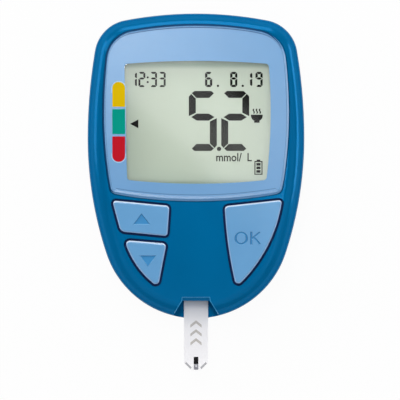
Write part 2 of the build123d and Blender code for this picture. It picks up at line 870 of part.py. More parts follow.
make_cell("left_cell", -cell_x)
make_cell("right_cell", cell_x)

# ---------------------------------------------------------------- display panel
bezel = slab(panel_face(0), ledge_z, above_everything) & below_crown(bezel_face_z)
bezel = chamfer(crown_edges(bezel), bezel_bevel)
bezel -= below_crown(bezel_face_z - bezel_thickness)
keep("display_bezel", bezel - slab(window_face(), 0, above_everything))

window = slab(panel_face(window_plate_inset), window_bottom_z, above_everything)
window = window & below_crown(bezel_face_z - bezel_thickness)
window_boss = slab(window_face(-window_fit), window_bottom_z + window_boss_root, above_everything)
keep("display_window", window + (window_boss & below_crown(bezel_face_z - window_sink)))

adhesive = panel_face(window_plate_inset) - panel_face(ledge_width - adhesive_overhang)
keep("window_adhesive", slab(adhesive, ledge_z, window_bottom_z))

# ---------------------------------------------------------------- display module
lcd_top_z = window_bottom_z - lcd_air_gap
polariser_bottom_z = lcd_top_z - polariser_thickness
rear_glass_top_z = polariser_bottom_z - lcd_glass_thickness
reflector_top_z = rear_glass_top_z - lcd_glass_thickness
shelf_top_z = reflector_top_z - reflector_thickness

glass_margin = lcd_view_margin + lcd_film_inset
lcd_half_width = panel_half_width - window_right_margin + window_right_bow + glass_margin
lcd_low_y = window_foot_y - window_foot_bow - glass_margin
rear_glass_high_y = window_top_y + window_top_bow + glass_margin
lcd_high_y = rear_glass_high_y + lcd_contact_ledge


def lcd_layer(high_y, inset, z_low, z_high):
    half = lcd_half_width - inset
    return block(-half, half, lcd_low_y + inset, high_y - inset, z_low, z_high)


keep("lcd_polariser", lcd_layer(rear_glass_high_y, lcd_film_inset, polariser_bottom_z, lcd_top_z))
keep("lcd_front_glass", lcd_layer(lcd_high_y, 0, rear_glass_top_z, polariser_bottom_z))
keep("lcd_rear_glass", lcd_layer(rear_glass_high_y, 0, reflector_top_z, rear_glass_top_z))
keep("lcd_reflector", lcd_layer(rear_glass_high_y, lcd_film_inset, shelf_top_z, reflector_top_z))

zebra_high_y = lcd_high_y - zebra_end_margin
zebra_low_y = zebra_high_y - zebra_width
zebra_half = lcd_half_width - zebra_inset


def zebra_block(grow, z_low, z_high):
    return block(-zebra_half - grow, zebra_half + grow, zebra_low_y - grow, zebra_high_y + grow,
                 z_low, z_high)


keep("zebra_strip", zebra_block(0, board_top_z, rear_glass_top_z))


def make_holder():
    # a box frame that stands on the board and carries the glass on an inner shelf
    inner_x = lcd_half_width + holder_clearance
    inner_low = lcd_low_y - holder_clearance
    inner_high = lcd_high_y + holder_clearance
    outer_x = inner_x + holder_wall
    frame = block(-outer_x, outer_x, inner_low - holder_wall, inner_high + holder_wall,
                  board_top_z, ledge_bottom_z - holder_ledge_gap)
    frame -= block(-inner_x, inner_x, inner_low, inner_high, shelf_top_z, far)
    frame -= block(-inner_x, inner_x, inner_low, inner_high, 0, shelf_top_z - holder_shelf)
    frame -= block(-inner_x + holder_shelf_margin, inner_x - holder_shelf_margin,
                   inner_low + holder_shelf_margin, zebra_low_y - holder_zebra_wall, 0, far)
    return frame - zebra_block(zebra_clearance, 0, far)


keep("lcd_holder", make_holder())


# ---------------------------------------------------------------- circuit board
def make_board():
    board = slab(body_face(wall + board_edge_clearance), board_bottom_z, board_top_z)
    board -= block(-far, far, -far, notch_y + board_port_setback, 0, far)
    for x, y in case_screw_places:
        board -= disc(x, y, case_screw_radius + board_bore_clearance, 0, far)
    for x, y in board_screw_places:
        board -= disc(x, y, board_screw_radius + board_bore_clearance, 0, far)
    return board


keep("circuit_board", make_board())


def chip(x, y, width, length, height):
    # a moulded package with a bevelled top and a pin-one mark
    body = block_about(x, y, width, length, board_top_z, board_top_z + height)
    body = chamfer(top_edges(body), chip_bevel)
    return body - disc(x - width / 2 + chip_mark_inset, y + length / 2 - chip_mark_inset,
                       chip_mark_radius, board_top_z + height - chip_mark_depth, far)


keep("processor", chip(processor_x, processor_y, processor_width, processor_width, processor_height))
keep("memory_chip", chip(memory_x, memory_y, memory_width, memory_length, memory_height))

radio_base_z = board_top_z + radio_base_thickness
keep("radio_module", block_about(radio_x, radio_y, radio_width, radio_length, board_top_z, radio_base_z))
radio_can = block_about(radio_x, radio_y, radio_width - 2 * radio_can_inset,
                        radio_length - 2 * radio_can_inset, radio_base_z, radio_base_z + radio_can_height)
keep("radio_shield", fillet(radio_can.edges().filter_by(Axis.Z), radio_can_corner))

crystal = slab(Pos(crystal_x, crystal_y) * SlotOverall(crystal_length, crystal_width),
               board_top_z, board_top_z + crystal_height)
keep("crystal", fillet(top_edges(crystal), crystal_edge))


def small_part(column, row):
    x = small_part_x + small_part_pitch_x * (column - (small_part_columns - 1) / 2)
    y = small_part_y + small_part_pitch_y * (row - (small_part_rows - 1) / 2)
    return block_about(x, y, small_part_length, small_part_width, board_top_z,
                       board_top_z + small_part_height)


keep("board_components", group([small_part(column, row) for column in range(small_part_columns)
                                for row in range(small_part_rows)]))

sounder_bottom_z = board_bottom_z - sounder_height
sounder = disc(sounder_x, sounder_y, sounder_radius, sounder_bottom_z, board_bottom_z)
keep("sounder", sounder - disc(sounder_x, sounder_y, sounder_port_radius, 0,
                               sounder_bottom_z + sounder_port_depth))

# ---------------------------------------------------------------- strip connector
connector_half = slot_half_width + connector_side
connector_top_z = board_top_z + connector_height


def make_connector():
    housing = block(-connector_half, connector_half, connector_front_y, connector_back_y,
                    board_top_z, connector_top_z)
    housing -= block(-slot_half_width, slot_half_width, connector_front_y - cut_through,
                     strip_inserted_y + connector_play, strip_bottom_z - strip_lift,
                     strip_top_z + connector_play)
    bare = strip_width / 2
    return housing - block(-bare, bare, strip_film_back_y, connector_back_y + cut_through,
                           strip_top_z, connector_top_z - connector_roof)


keep("strip_connector", make_connector())


def strip_contact(x):
    # bent spring finger: tail on the board, up, and forward down onto the strip
    touch_z = film_bottom_z + electrode_thickness
    touch_y = strip_inserted_y - finger_reach
    toe_y = touch_y - finger_toe
    toe_z = touch_z + finger_toe_lift
    high_z = touch_z + finger_rise
    root_y = connector_back_y + finger_root_gap
    tail_y = connector_back_y + finger_tail
    profile = Polyline(
        (tail_y, board_top_z), (root_y, board_top_z), (root_y, high_z), (touch_y, touch_z),
        (toe_y, toe_z), (toe_y, toe_z + finger_metal), (touch_y, touch_z + finger_metal),
        (root_y, high_z + finger_metal), (root_y + finger_metal, high_z + finger_metal),
        (root_y + finger_metal, board_top_z + finger_metal), (tail_y, board_top_z + finger_metal),
        close=True)
    return Pos(x, 0, 0) * extrude(make_face(Plane.YZ * profile), finger_width / 2, both=True)


lanes = [electrode_pitch * (index - (electrode_count - 1) / 2) for index in range(electrode_count)]
keep("strip_contacts", group([strip_contact(x) for x in lanes]))


# ---------------------------------------------------------------- screws
def make_screw(place, seat_z, head_height, head_radius, shank_radius, length):
    # head below its seat, shank up; the cross recess is cut from underneath
    x, y = place
    head_z = seat_z - head_height
    screw = chamfer(bottom_edges(disc(x, y, head_radius, head_z, seat_z)), head_height * head_bevel_share)
    screw += disc(x, y, shank_radius, seat_z, seat_z + length)
    reach = head_radius * recess_reach_share
    for half_x, half_y in ((reach, recess_half_width), (recess_half_width, reach)):
        screw -= block(x - half_x, x + half_x, y - half_y, y + half_y, head_z - cut_through,
                       head_z + head_height * recess_depth_share)
    return screw


keep("case_screws", group([
    make_screw(place, case_screw_seat_z, case_screw_head_height, case_screw_head_radius,
               case_screw_radius, case_screw_length) for place in case_screw_places]))
keep("board_screws", group([
    make_screw(place, board_bottom_z, board_screw_head_height, board_screw_head_radius,
               board_screw_radius, board_screw_length) for place in board_screw_places]))


# ---------------------------------------------------------------- keys and their snap domes
def make_dome(x, y):
    ball_radius = (dome_radius**2 + dome_height**2) / (2 * dome_height)
    place = Pos(x, y, board_top_z + dome_height - ball_radius) * Rot(90, 0, 0)
    shell = place * Sphere(ball_radius) - place * Sphere(ball_radius - dome_thickness)
    return shell & disc(x, y, dome_radius + cut_through, board_top_z, board_top_z + 2 * dome_height)


def make_key(outline, post, symbol, tab_y, tab_length):
    # a hollow cap with a post in its middle, and tabs that hold it under the front shell
    tab_bottom_z = inner_face_z - key_tab_thickness
    core_top_z = key_face_z - 2 * key_wall
    cap = slab(bowed_face(*outline), tab_bottom_z, above_everything) & below_crown(key_face_z)
    cap = fillet(crown_edges(cap), key_edge_radius)
    cap -= slab(bowed_face(*outline, -key_wall), 0, core_top_z)
    tab_plan = bowed_face(*outline, key_tab) - bowed_face(*outline, -key_wall / 2)
    tabs = slab(tab_plan, tab_bottom_z, above_everything)
    tabs = tabs & below_crown(inner_face_z - key_tab_clearance)
    cap += tabs & block(-far, far, tab_y - tab_length / 2, tab_y + tab_length / 2, 0, far)
    cap += disc(post[0], post[1], key_post_radius, board_top_z + dome_height + key_post_gap,
                key_face_z - key_wall)
    sunk = slab(symbol, core_top_z, above_everything)
    return cap - (sunk - below_crown(key_face_z - symbol_depth))


def keep_key(name, make_symbol, shift, rise, tab_length):
    outline = key_outlines[name]
    post = middle(outline[0])
    symbol = make_symbol(post[0] + shift, post[1] + rise)
    keep(name + "_key", make_key(outline, post, symbol, post[1] + rise, tab_length))
    keep(name + "_dome", make_dome(*post))


keep_key("up", up_triangle, up_symbol_shift, up_symbol_rise, up_tab_length)
keep_key("down", down_triangle, down_symbol_shift, down_symbol_rise, down_tab_length)
keep_key("ok", ok_letters, ok_symbol_shift, ok_symbol_rise, ok_tab_length)


# ---------------------------------------------------------------- test strip
def strip_plan(back_y):
    half = strip_width / 2
    shoulder_y = strip_tip_y + strip_tip_chamfer
    tip_half = half - strip_tip_chamfer
    return make_face(Polyline(
        (-half, back_y), (half, back_y), (half, shoulder_y), (tip_half, strip_tip_y),
        (-tip_half, strip_tip_y), (-half, shoulder_y), close=True))


reagent_y = strip_tip_y + reagent_setback + reagent_length / 2
channel = block(-channel_width / 2, channel_width / 2, -far, reagent_y, 0, far)
reagent_hole = block_about(0, reagent_y, reagent_width, reagent_length, 0, far)
film_plan = strip_plan(strip_film_back_y)
electrode_low_y = strip_film_back_y
electrode_high_y = strip_inserted_y - electrode_end_margin

keep("strip_base", slab(strip_plan(strip_inserted_y), strip_bottom_z, film_bottom_z))
keep("strip_spacer", slab(film_plan, film_bottom_z, cover_bottom_z) - channel - reagent_hole)
keep("strip_cover", slab(film_plan, cover_bottom_z, strip_top_z) - reagent_hole)
keep("strip_reagent", block_about(0, reagent_y, reagent_width, reagent_length, film_bottom_z,
                                  strip_top_z - reagent_sink))
keep("strip_electrodes", group([
    block(x - electrode_width / 2, x + electrode_width / 2, electrode_low_y, electrode_high_y,
          film_bottom_z, film_bottom_z + electrode_thickness) for x in lanes]))
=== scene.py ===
import bpy
import bmesh
from math import atan, cos, pi, radians, sin, sqrt, tan
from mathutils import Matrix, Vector
from mathutils.bvhtree import BVHTree


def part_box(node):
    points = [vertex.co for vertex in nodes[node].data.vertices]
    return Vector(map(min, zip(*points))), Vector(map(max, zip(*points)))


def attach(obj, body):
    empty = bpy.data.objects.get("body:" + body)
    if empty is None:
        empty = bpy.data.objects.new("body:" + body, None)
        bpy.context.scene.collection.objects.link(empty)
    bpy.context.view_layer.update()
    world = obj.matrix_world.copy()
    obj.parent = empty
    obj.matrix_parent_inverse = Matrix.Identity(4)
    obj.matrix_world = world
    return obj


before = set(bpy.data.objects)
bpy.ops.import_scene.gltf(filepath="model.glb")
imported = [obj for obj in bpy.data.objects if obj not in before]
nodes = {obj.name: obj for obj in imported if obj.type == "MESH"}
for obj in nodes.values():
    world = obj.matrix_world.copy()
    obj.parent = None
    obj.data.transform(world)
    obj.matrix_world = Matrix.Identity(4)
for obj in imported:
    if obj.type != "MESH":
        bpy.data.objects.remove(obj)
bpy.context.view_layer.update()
mm = 0.001

# The prints and the driven marks are set out in millimetres in the meter's own frame:
# +X is right of the display, +Y its far end, +Z out of it.
crown = {
    "radius": 800.0,  # the face is part of a large ball
    "y": 6.0,  # its highest point
    "bezelZ": 18.9, "bezelWithin": 0.04,  # a CAD face within this distance is part of it
    "keyZ": 19.1,
}
keyNames = ("up_key", "down_key", "ok_key")
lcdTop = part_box("lcd_polariser")[1].z / mm
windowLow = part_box("display_window")[0].z / mm
coverTop = (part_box("strip_cover")[1] / mm).z
stripLow, stripHigh = (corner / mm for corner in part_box("strip_base"))


def crownZ(x, y, apex):
    # height of a crowned face over a point, in millimetres, from the height of its highest point
    across = x * x + (y - crown["y"]) ** 2
    return apex - crown["radius"] + sqrt(crown["radius"] ** 2 - across)


def srgb(red, green, blue):
    # 0 to 255 screen values to the linear colour that a shader takes
    parts = [value / 255 for value in (red, green, blue)]
    linear = [part / 12.92 if part <= 0.04045 else ((part + 0.055) / 1.055) ** 2.4 for part in parts]
    return (*linear, 1.0)


def shade(colour, share):
    return (*(min(1.0, part * share) for part in colour[:3]), 1.0)


def effectGroup(name, inputs, outputs):
    tree = bpy.data.node_groups.new(name, "ShaderNodeTree")
    for label, value in inputs:
        socket = tree.interface.new_socket(label, in_out="INPUT", socket_type="NodeSocketFloat")
        socket.default_value = value
    for label in outputs:
        tree.interface.new_socket(label, in_out="OUTPUT", socket_type="NodeSocketFloat")
    return tree, tree.nodes.new("NodeGroupInput"), tree.nodes.new("NodeGroupOutput")


def fill(tree, node, values):
    # inputs by their label or place, each with a number, a colour or another node's output
    for label, value in values.items():
        if isinstance(value, (int, float, tuple)):
            node.inputs[label].default_value = value
        else:
            tree.links.new(value, node.inputs[label])


def mathNode(tree, operation, first, second=0.0):
    node = tree.nodes.new("ShaderNodeMath")
    node.operation = operation
    fill(tree, node, {0: first, 1: second})
    return node.outputs[0]


def rangeNode(tree, value, fromLow, fromHigh, toLow=0.0, toHigh=1.0):
    node = tree.nodes.new("ShaderNodeMapRange")
    node.interpolation_type = "SMOOTHSTEP"
    fill(tree, node, {"Value": value, "From Min": fromLow, "From Max": fromHigh,
                      "To Min": toLow, "To Max": toHigh})
    return node.outputs["Result"]


def objectPlace(tree):
    return tree.nodes.new("ShaderNodeTexCoord").outputs["Object"]


def objectNormal(tree):
    return tree.nodes.new("ShaderNodeTexCoord").outputs["Normal"]


def splitAxes(tree, vector):
    node = tree.nodes.new("ShaderNodeSeparateXYZ")
    fill(tree, node, {0: vector})
    return node.outputs


# In the looks, a noise is its scale, in features per metre, and its detail; a bump is its strength and its
# depth in millimetres; scuffs are their coverage and what they add to the roughness.
def noiseNode(tree, scale, detail, place=None):
    node = tree.nodes.new("ShaderNodeTexNoise")
    fill(tree, node, {"Detail": detail, "Vector": place or objectPlace(tree), "Scale": scale})
    return node.outputs["Fac"]


def cellNode(tree, scale, metric="EUCLIDEAN"):
    # distance from the middle of the nearest cell
    node = tree.nodes.new("ShaderNodeTexVoronoi")
    node.distance = metric
    fill(tree, node, {"Scale": scale, "Vector": objectPlace(tree)})
    return node.outputs["Distance"]


def stretched(tree, alongX, turn=0.0):
    # object coordinates squeezed along X, so that what is drawn on them runs in long lines
    node = tree.nodes.new("ShaderNodeMapping")
    fill(tree, node, {"Rotation": (0, 0, radians(turn)), "Scale": (alongX, 1.0, 1.0),
                      "Vector": objectPlace(tree)})
    return node.outputs["Vector"]


def mouldedGrain():
    # spark-eroded tool texture: fine pits, with broad cloudiness in tone and gloss
    look = {"pitDetail": 3.0, "pitEdge": (0.35, 0.7), "cloudDetail": 4.0, "cloudEdge": (0.3, 0.7),
            "pitShare": 0.4}  # of the gloss
    tree, source, sink = effectGroup("mouldedGrain", [("Grain Scale", 6000.0), ("Cloud Scale", 90.0)],
                                     ["Height", "Tone", "Gloss"])
    grain = noiseNode(tree, source.outputs["Grain Scale"], look["pitDetail"])
    pits = rangeNode(tree, grain, *look["pitEdge"])
    cloud = noiseNode(tree, source.outputs["Cloud Scale"], look["cloudDetail"])
    gloss = mathNode(tree, "ADD", mathNode(tree, "MULTIPLY", pits, look["pitShare"]),
                     mathNode(tree, "MULTIPLY", cloud, 1 - look["pitShare"]))
    tone = rangeNode(tree, cloud, *look["cloudEdge"])
    fill(tree, sink, {"Height": pits, "Tone": tone, "Gloss": gloss})
    return tree


def fineScuffs():
    # hairline wipes in two directions, thinned out by a cloudy mask
    look = {"turns": (25.0, -50.0), "squeeze": 0.04, "lineDetail": 2.0, "lineEdge": (0.62, 0.72),
            "patches": (60.0, 2.0), "patchEdge": (0.4, 0.75)}
    tree, source, sink = effectGroup("fineScuffs", [("Line Scale", 900.0), ("Coverage", 0.35)], ["Mask"])
    lines = []
    for turn in look["turns"]:
        noise = noiseNode(tree, source.outputs["Line Scale"], look["lineDetail"],
                          stretched(tree, look["squeeze"], turn))
        lines.append(rangeNode(tree, noise, *look["lineEdge"]))
    patches = rangeNode(tree, noiseNode(tree, *look["patches"]), *look["patchEdge"],
                        0.0, source.outputs["Coverage"])
    both = mathNode(tree, "MAXIMUM", *lines)
    fill(tree, sink, {"Mask": mathNode(tree, "MULTIPLY", both, patches)})
    return tree


def drawnLines():
    # rolled or drawn metal: long fine lines along X
    look = {"detail": 3.0, "squeeze": 0.03, "toneEdge": (0.3, 0.7)}
    tree, source, sink = effectGroup("drawnLines", [("Line Scale", 4000.0)], ["Height", "Tone"])
    lines = noiseNode(tree, source.outputs["Line Scale"], look["detail"], stretched(tree, look["squeeze"]))
    fill(tree, sink, {"Height": lines, "Tone": rangeNode(tree, lines, *look["toneEdge"])})
    return tree


grainGroup, scuffGroup, lineGroup = mouldedGrain(), fineScuffs(), drawnLines()


def opened(material):
    return material.node_tree, material.node_tree.nodes["Principled BSDF"]


def newMaterial(name):
    material = bpy.data.materials.new(name)
    material.use_nodes = True
    return material, *opened(material)


def placeGroup(tree, group, values):
    node = tree.nodes.new("ShaderNodeGroup")
    node.node_tree = group
    fill(tree, node, values)
    return node.outputs


def blendColour(tree, mask, first, second):
    node = tree.nodes.new("ShaderNodeMix")
    node.data_type = "RGBA"
    fill(tree, node, {"Factor": mask, 6: first, 7: second})  # 6 and 7 are its colours, A and B
    return node.outputs[2]


def wander(tree, mask, colour, tone):
    return blendColour(tree, mask, shade(colour, 1 - tone), shade(colour, 1 + tone))


def paintOver(tree, shader, mask, colour):
    # lays a colour over the base colour where the mask is 1
    base = shader.inputs["Base Color"].links[0].from_socket
    fill(tree, shader, {"Base Color": blendColour(tree, mask, base, colour)})


def mixShaders(tree, share, first, second):
    mixer = tree.nodes.new("ShaderNodeMixShader")
    fill(tree, mixer, {0: share, 1: first, 2: second})
    fill(tree, tree.nodes["Material Output"], {"Surface": mixer.outputs["Shader"]})


def bumpFrom(tree, shader, height, strength, depth):
    node = tree.nodes.new("ShaderNodeBump")
    fill(tree, node, {"Strength": strength, "Distance": depth * mm, "Height": height})
    fill(tree, shader, {"Normal": node.outputs["Normal"]})


def scuffed(tree, roughness, coverage, wear):
    # a roughness, or another node's, with hairline wipes over it
    mask = placeGroup(tree, scuffGroup, {"Coverage": coverage})["Mask"]
    return mathNode(tree, "ADD", mathNode(tree, "MULTIPLY", mask, wear), roughness)


def plastic(name, colour, roughness, grainScale=6000.0, depth=0.004, tone=0.06, gloss=0.06,
            specular=0.5, wipes=0.0):
    # moulded plastic, film or ink: grain depth in millimetres, tone and gloss are how far each wanders
    look = {"glossEdge": (0.2, 0.8), "wipeCoverage": 0.4, "bump": 0.6}
    material, tree, shader = newMaterial(name)
    grain = placeGroup(tree, grainGroup, {"Grain Scale": grainScale})
    worn = rangeNode(tree, grain["Gloss"], *look["glossEdge"], roughness - gloss, roughness + gloss)
    if wipes:
        worn = scuffed(tree, worn, look["wipeCoverage"], wipes)
    fill(tree, shader, {"Base Color": wander(tree, grain["Tone"], colour, tone), "Roughness": worn,
                        "Specular IOR Level": specular})
    bumpFrom(tree, shader, grain["Height"], look["bump"], depth)
    return material


def metal(name, colour, roughness, lineScale=4000.0):
    look = {"tone": 0.1, "scuffs": (0.5, 0.25), "bump": (0.4, 0.002)}
    material, tree, shader = newMaterial(name)
    lines = placeGroup(tree, lineGroup, {"Line Scale": lineScale})
    fill(tree, shader, {"Base Color": wander(tree, lines["Tone"], colour, look["tone"]), "Metallic": 1.0,
                        "Roughness": scuffed(tree, roughness, *look["scuffs"])})
    bumpFrom(tree, shader, lines["Height"], *look["bump"])
    return material


def shellPlastic():
    # deep satin blue under a clear gloss that fades out towards the turned-away sides
    look = {"colour": srgb(0, 104, 158), "roughness": 0.2, "pearl": 0.25, "edge": (0.05, 0.4, 0.6, 1.0),
            "gloss": 0.1, "glossRoughness": 0.1, "glossFade": (0.3, 0.72)}
    material = plastic("shellSatinBlue", look["colour"], look["roughness"], depth=0.002, tone=0.02,
                       gloss=0.03, specular=0.0)
    tree, shader = opened(material)
    facing = tree.nodes.new("ShaderNodeLayerWeight").outputs["Facing"]
    gloss = rangeNode(tree, facing, *look["glossFade"], look["gloss"], 0.0)
    fill(tree, shader, {"Coat Weight": gloss, "Coat Roughness": look["glossRoughness"],
                        "Metallic": look["pearl"], "Specular Tint": look["edge"]})
    return material


def clearPlastic(name, roughness, tint, underside=None):
    # lets light through to what lies behind it, with hairline wipes in its gloss;
    # up to just over the underside's height, in millimetres, nothing is mirrored
    look = {"ior": 1.49, "scuffs": (0.25, 0.03), "margin": 0.05}
    material, tree, shader = newMaterial(name)
    fill(tree, shader, {"Base Color": tint, "Transmission Weight": 1.0, "IOR": look["ior"],
                        "Roughness": scuffed(tree, roughness, *look["scuffs"])})
    clear = tree.nodes.new("ShaderNodeBsdfTransparent")
    fill(tree, clear, {"Color": tint})
    path = tree.nodes.new("ShaderNodeLightPath").outputs
    straight = mathNode(tree, "MAXIMUM", path["Is Shadow Ray"], path["Is Diffuse Ray"])
    if underside is not None:
        height = splitAxes(tree, objectPlace(tree))["Z"]
        low = mathNode(tree, "LESS_THAN", height, (underside + look["margin"]) * mm)
        straight = mathNode(tree, "MAXIMUM", straight, low)
    mixShaders(tree, straight, shader.outputs["BSDF"], clear.outputs["BSDF"])
    return material


def keyPlastic():
    # satin key with a painted highlight round its rounded rim, palest on the far side, painted shade on its
    # skirt deep in the gap, and a darker tint on the floor of the sunk symbol; depths are in millimetres
    # under the crowned face, turns are values of the normal
    look = {"colour": srgb(98, 158, 207), "tint": srgb(56, 139, 197), "skirtShade": srgb(4, 40, 112),
            "edge": srgb(146, 182, 224), "farHighlight": srgb(206, 224, 244), "edgeTurn": (0.985, 0.85),
            "farTurn": (0.05, 0.35), "flatTurn": 0.98, "roughness": 0.2,
            "symbolDepth": (0.08, 0.14), "symbolLimit": 0.45, "skirtDepth": (0.55, 0.75)}
    material = plastic("keySatinBlue", look["colour"], look["roughness"], depth=0.002, tone=0.02,
                       gloss=0.03, wipes=0.03)
    tree, shader = opened(material)
    place = splitAxes(tree, objectPlace(tree))
    y = mathNode(tree, "SUBTRACT", place["Y"], crown["y"] * mm)
    across = mathNode(tree, "ADD", mathNode(tree, "MULTIPLY", place["X"], place["X"]),
                      mathNode(tree, "MULTIPLY", y, y))
    fall = mathNode(tree, "DIVIDE", across, 2 * crown["radius"] * mm)
    crownHere = mathNode(tree, "SUBTRACT", crown["keyZ"] * mm, fall)
    depth = mathNode(tree, "DIVIDE", mathNode(tree, "SUBTRACT", crownHere, place["Z"]), mm)
    facing = splitAxes(tree, objectNormal(tree))
    flat = mathNode(tree, "GREATER_THAN", facing["Z"], look["flatTurn"])
    sunk = mathNode(tree, "MULTIPLY", rangeNode(tree, depth, *look["symbolDepth"]),
                    mathNode(tree, "LESS_THAN", depth, look["symbolLimit"]))
    # painted highlight round the key's rim, palest where it faces the far side
    rim = blendColour(tree, rangeNode(tree, facing["Y"], *look["farTurn"]), look["edge"], look["farHighlight"])
    paintOver(tree, shader, rangeNode(tree, facing["Z"], *look["edgeTurn"]), rim)
    paintOver(tree, shader, mathNode(tree, "MULTIPLY", sunk, flat), look["tint"])
    # painted shade on the key's skirt deep in the gap to the shell
    paintOver(tree, shader, rangeNode(tree, depth, *look["skirtDepth"]), look["skirtShade"])
    return material


def lcdFilm():
    # grey-green reflective film, a little uneven, with a silky sheen under its fine tooth;
    # a painted shadow lies along its far and near edges, from and to in millimetres
    look = {"light": srgb(195, 210, 190), "dark": srgb(190, 204, 184), "shade": srgb(142, 168, 148),
            "farShade": (24.6, 26.2), "nearShade": (-3.4, -5.2),
            "cloud": (45.0, 3.0), "cloudEdge": (0.35, 0.7), "tooth": (9000.0, 2.0), "toothEdge": (0.3, 0.7),
            "roughness": (0.08, 0.1), "bump": (0.1, 0.0003), "ior": 1.8, "specular": 1.0}
    material, tree, shader = newMaterial("lcdReflectiveFilm")
    cloud = rangeNode(tree, noiseNode(tree, *look["cloud"]), *look["cloudEdge"])
    fill(tree, shader, {"Base Color": blendColour(tree, cloud, look["dark"], look["light"])})
    y = splitAxes(tree, objectPlace(tree))["Y"]
    edgeShadows = [rangeNode(tree, y, start * mm, end * mm)
             for start, end in (look["farShade"], look["nearShade"])]
    paintOver(tree, shader, mathNode(tree, "MAXIMUM", *edgeShadows), look["shade"])
    tooth = noiseNode(tree, *look["tooth"])
    fill(tree, shader, {"Roughness": rangeNode(tree, tooth, *look["toothEdge"], *look["roughness"]),
                        "IOR": look["ior"], "Specular IOR Level": look["specular"]})
    bumpFrom(tree, shader, tooth, *look["bump"])
    return material


def solderMask():
    # green lacquer over copper tracks, which show as a lighter, slightly raised network
    look = {"board": srgb(8, 52, 44), "track": srgb(18, 78, 62), "trackScale": 900.0,
            "trackEdge": (0.36, 0.42), "gloss": (700.0, 2.0), "glossEdge": (0.3, 0.7),
            "roughness": (0.26, 0.34), "bump": (0.5, 0.01)}
    material, tree, shader = newMaterial("solderMaskGreen")
    tracks = rangeNode(tree, cellNode(tree, look["trackScale"], "CHEBYCHEV"), *look["trackEdge"])
    gloss = noiseNode(tree, *look["gloss"])
    fill(tree, shader, {"Base Color": blendColour(tree, tracks, look["board"], look["track"]),
                        "Roughness": rangeNode(tree, gloss, *look["glossEdge"], *look["roughness"])})
    bumpFrom(tree, shader, tracks, *look["bump"])
    return material


def zebraRubber():
    # thin black and pale layers, stacked along X
    look = {"dark": srgb(38, 38, 42), "pale": srgb(150, 148, 150), "scale": 1500.0, "distortion": 0.4,
            "layerEdge": (0.4, 0.6), "roughness": (0.65, 0.75), "bump": (0.5, 0.01)}
    material, tree, shader = newMaterial("zebraLayers")
    wave = tree.nodes.new("ShaderNodeTexWave")
    wave.bands_direction = "X"
    fill(tree, wave, {"Scale": look["scale"], "Distortion": look["distortion"],
                      "Vector": objectPlace(tree)})
    layers = rangeNode(tree, wave.outputs["Fac"], *look["layerEdge"])
    fill(tree, shader, {"Base Color": blendColour(tree, layers, look["dark"], look["pale"]),
                        "Roughness": rangeNode(tree, layers, 0.0, 1.0, *look["roughness"])})
    bumpFrom(tree, shader, wave.outputs["Fac"], *look["bump"])
    return material


def foam(name, colour):
    # open-cell foam: small round pores
    look = {"scale": 3500.0, "poreEdge": (0.1, 0.5), "poreShade": 0.45, "roughness": (0.98, 0.85),
            "bump": (0.9, 0.06)}
    material, tree, shader = newMaterial(name)
    pores = rangeNode(tree, cellNode(tree, look["scale"]), *look["poreEdge"])
    fill(tree, shader, {"Base Color": blendColour(tree, pores, shade(colour, look["poreShade"]), colour),
                        "Roughness": rangeNode(tree, pores, 0.0, 1.0, *look["roughness"])})
    bumpFrom(tree, shader, pores, *look["bump"])
    return material


finishes = [
    (shellPlastic(), ["front_shell", "rear_shell", "battery_door"]),
    (plastic("panelGlossBlue", srgb(100, 154, 203), 0.25, 9000.0, depth=0.001, tone=0.015, gloss=0.02),
     ["display_bezel"]),
    (keyPlastic(), keyNames),
    (clearPlastic("windowClear", 0.0, (1.0, 1.0, 1.0, 1.0), windowLow), ["display_window"]),
    (clearPlastic("lcdGlassClear", 0.02, (0.93, 0.98, 0.95, 1.0)), ["lcd_front_glass", "lcd_rear_glass"]),
    (lcdFilm(), ["lcd_polariser"]),
    (metal("reflectorFilm", srgb(208, 212, 206), 0.4), ["lcd_reflector"]),
    (foam("adhesiveFoamBlack", srgb(30, 30, 34)), ["window_adhesive"]),
    (plastic("holderWhite", srgb(226, 226, 221), 0.5), ["lcd_holder"]),
    (zebraRubber(), ["zebra_strip"]),
    (solderMask(), ["circuit_board", "radio_module"]),
    (plastic("chipPackageBlack", srgb(42, 42, 44), 0.6, 12000.0, depth=0.01),
     ["processor", "memory_chip", "board_components"]),
    (plastic("housingBlack", srgb(48, 48, 51), 0.5), ["strip_connector", "sounder"]),
    (metal("tinnedSheet", srgb(196, 198, 200), 0.3), ["radio_shield", "crystal"]),
    (metal("goldFlash", srgb(222, 184, 104), 0.25), ["strip_contacts"]),
    (metal("springSteel", srgb(196, 197, 200), 0.22),
     ["negative_contacts", "positive_contacts", "up_dome", "down_dome", "ok_dome"]),
    (metal("cellNickel", srgb(203, 203, 206), 0.2, 1500.0),
     ["left_cell_can", "left_cell_cap", "right_cell_can", "right_cell_cap"]),
    (plastic("sealNylon", srgb(196, 193, 184), 0.55), ["left_cell_seal", "right_cell_seal"]),
    (metal("screwZinc", srgb(172, 174, 178), 0.32), ["case_screws", "board_screws"]),
    (plastic("labelSilverFilm", srgb(206, 208, 211), 0.4, 5000.0, depth=0.003), ["rear_label"]),
    (foam("padFoamGrey", srgb(70, 70, 74)), ["door_pad"]),
    (plastic("stripWhiteFilm", srgb(252, 251, 254), 0.42, 12000.0, depth=0.002, tone=0.012, gloss=0.04),
     ["strip_base", "strip_cover"]),
    (plastic("stripSpacerGrey", srgb(176, 172, 172), 0.5), ["strip_spacer"]),
    (plastic("reagentBlack", srgb(12, 12, 16), 0.7, 9000.0, depth=0.01, specular=0.2), ["strip_reagent"]),
    (plastic("carbonInk", srgb(58, 58, 62), 0.6, 9000.0), ["strip_electrodes"]),
]
for material, names in finishes:
    for name in names:
        nodes[name].data.materials.clear()
        nodes[name].data.materials.append(material)
print("finishes placed on", sum(len(names) for material, names in finishes), "nodes")


def newObject(name, contents):
    made = bpy.data.objects.new(name, contents)
    bpy.context.collection.objects.link(made)
    return made


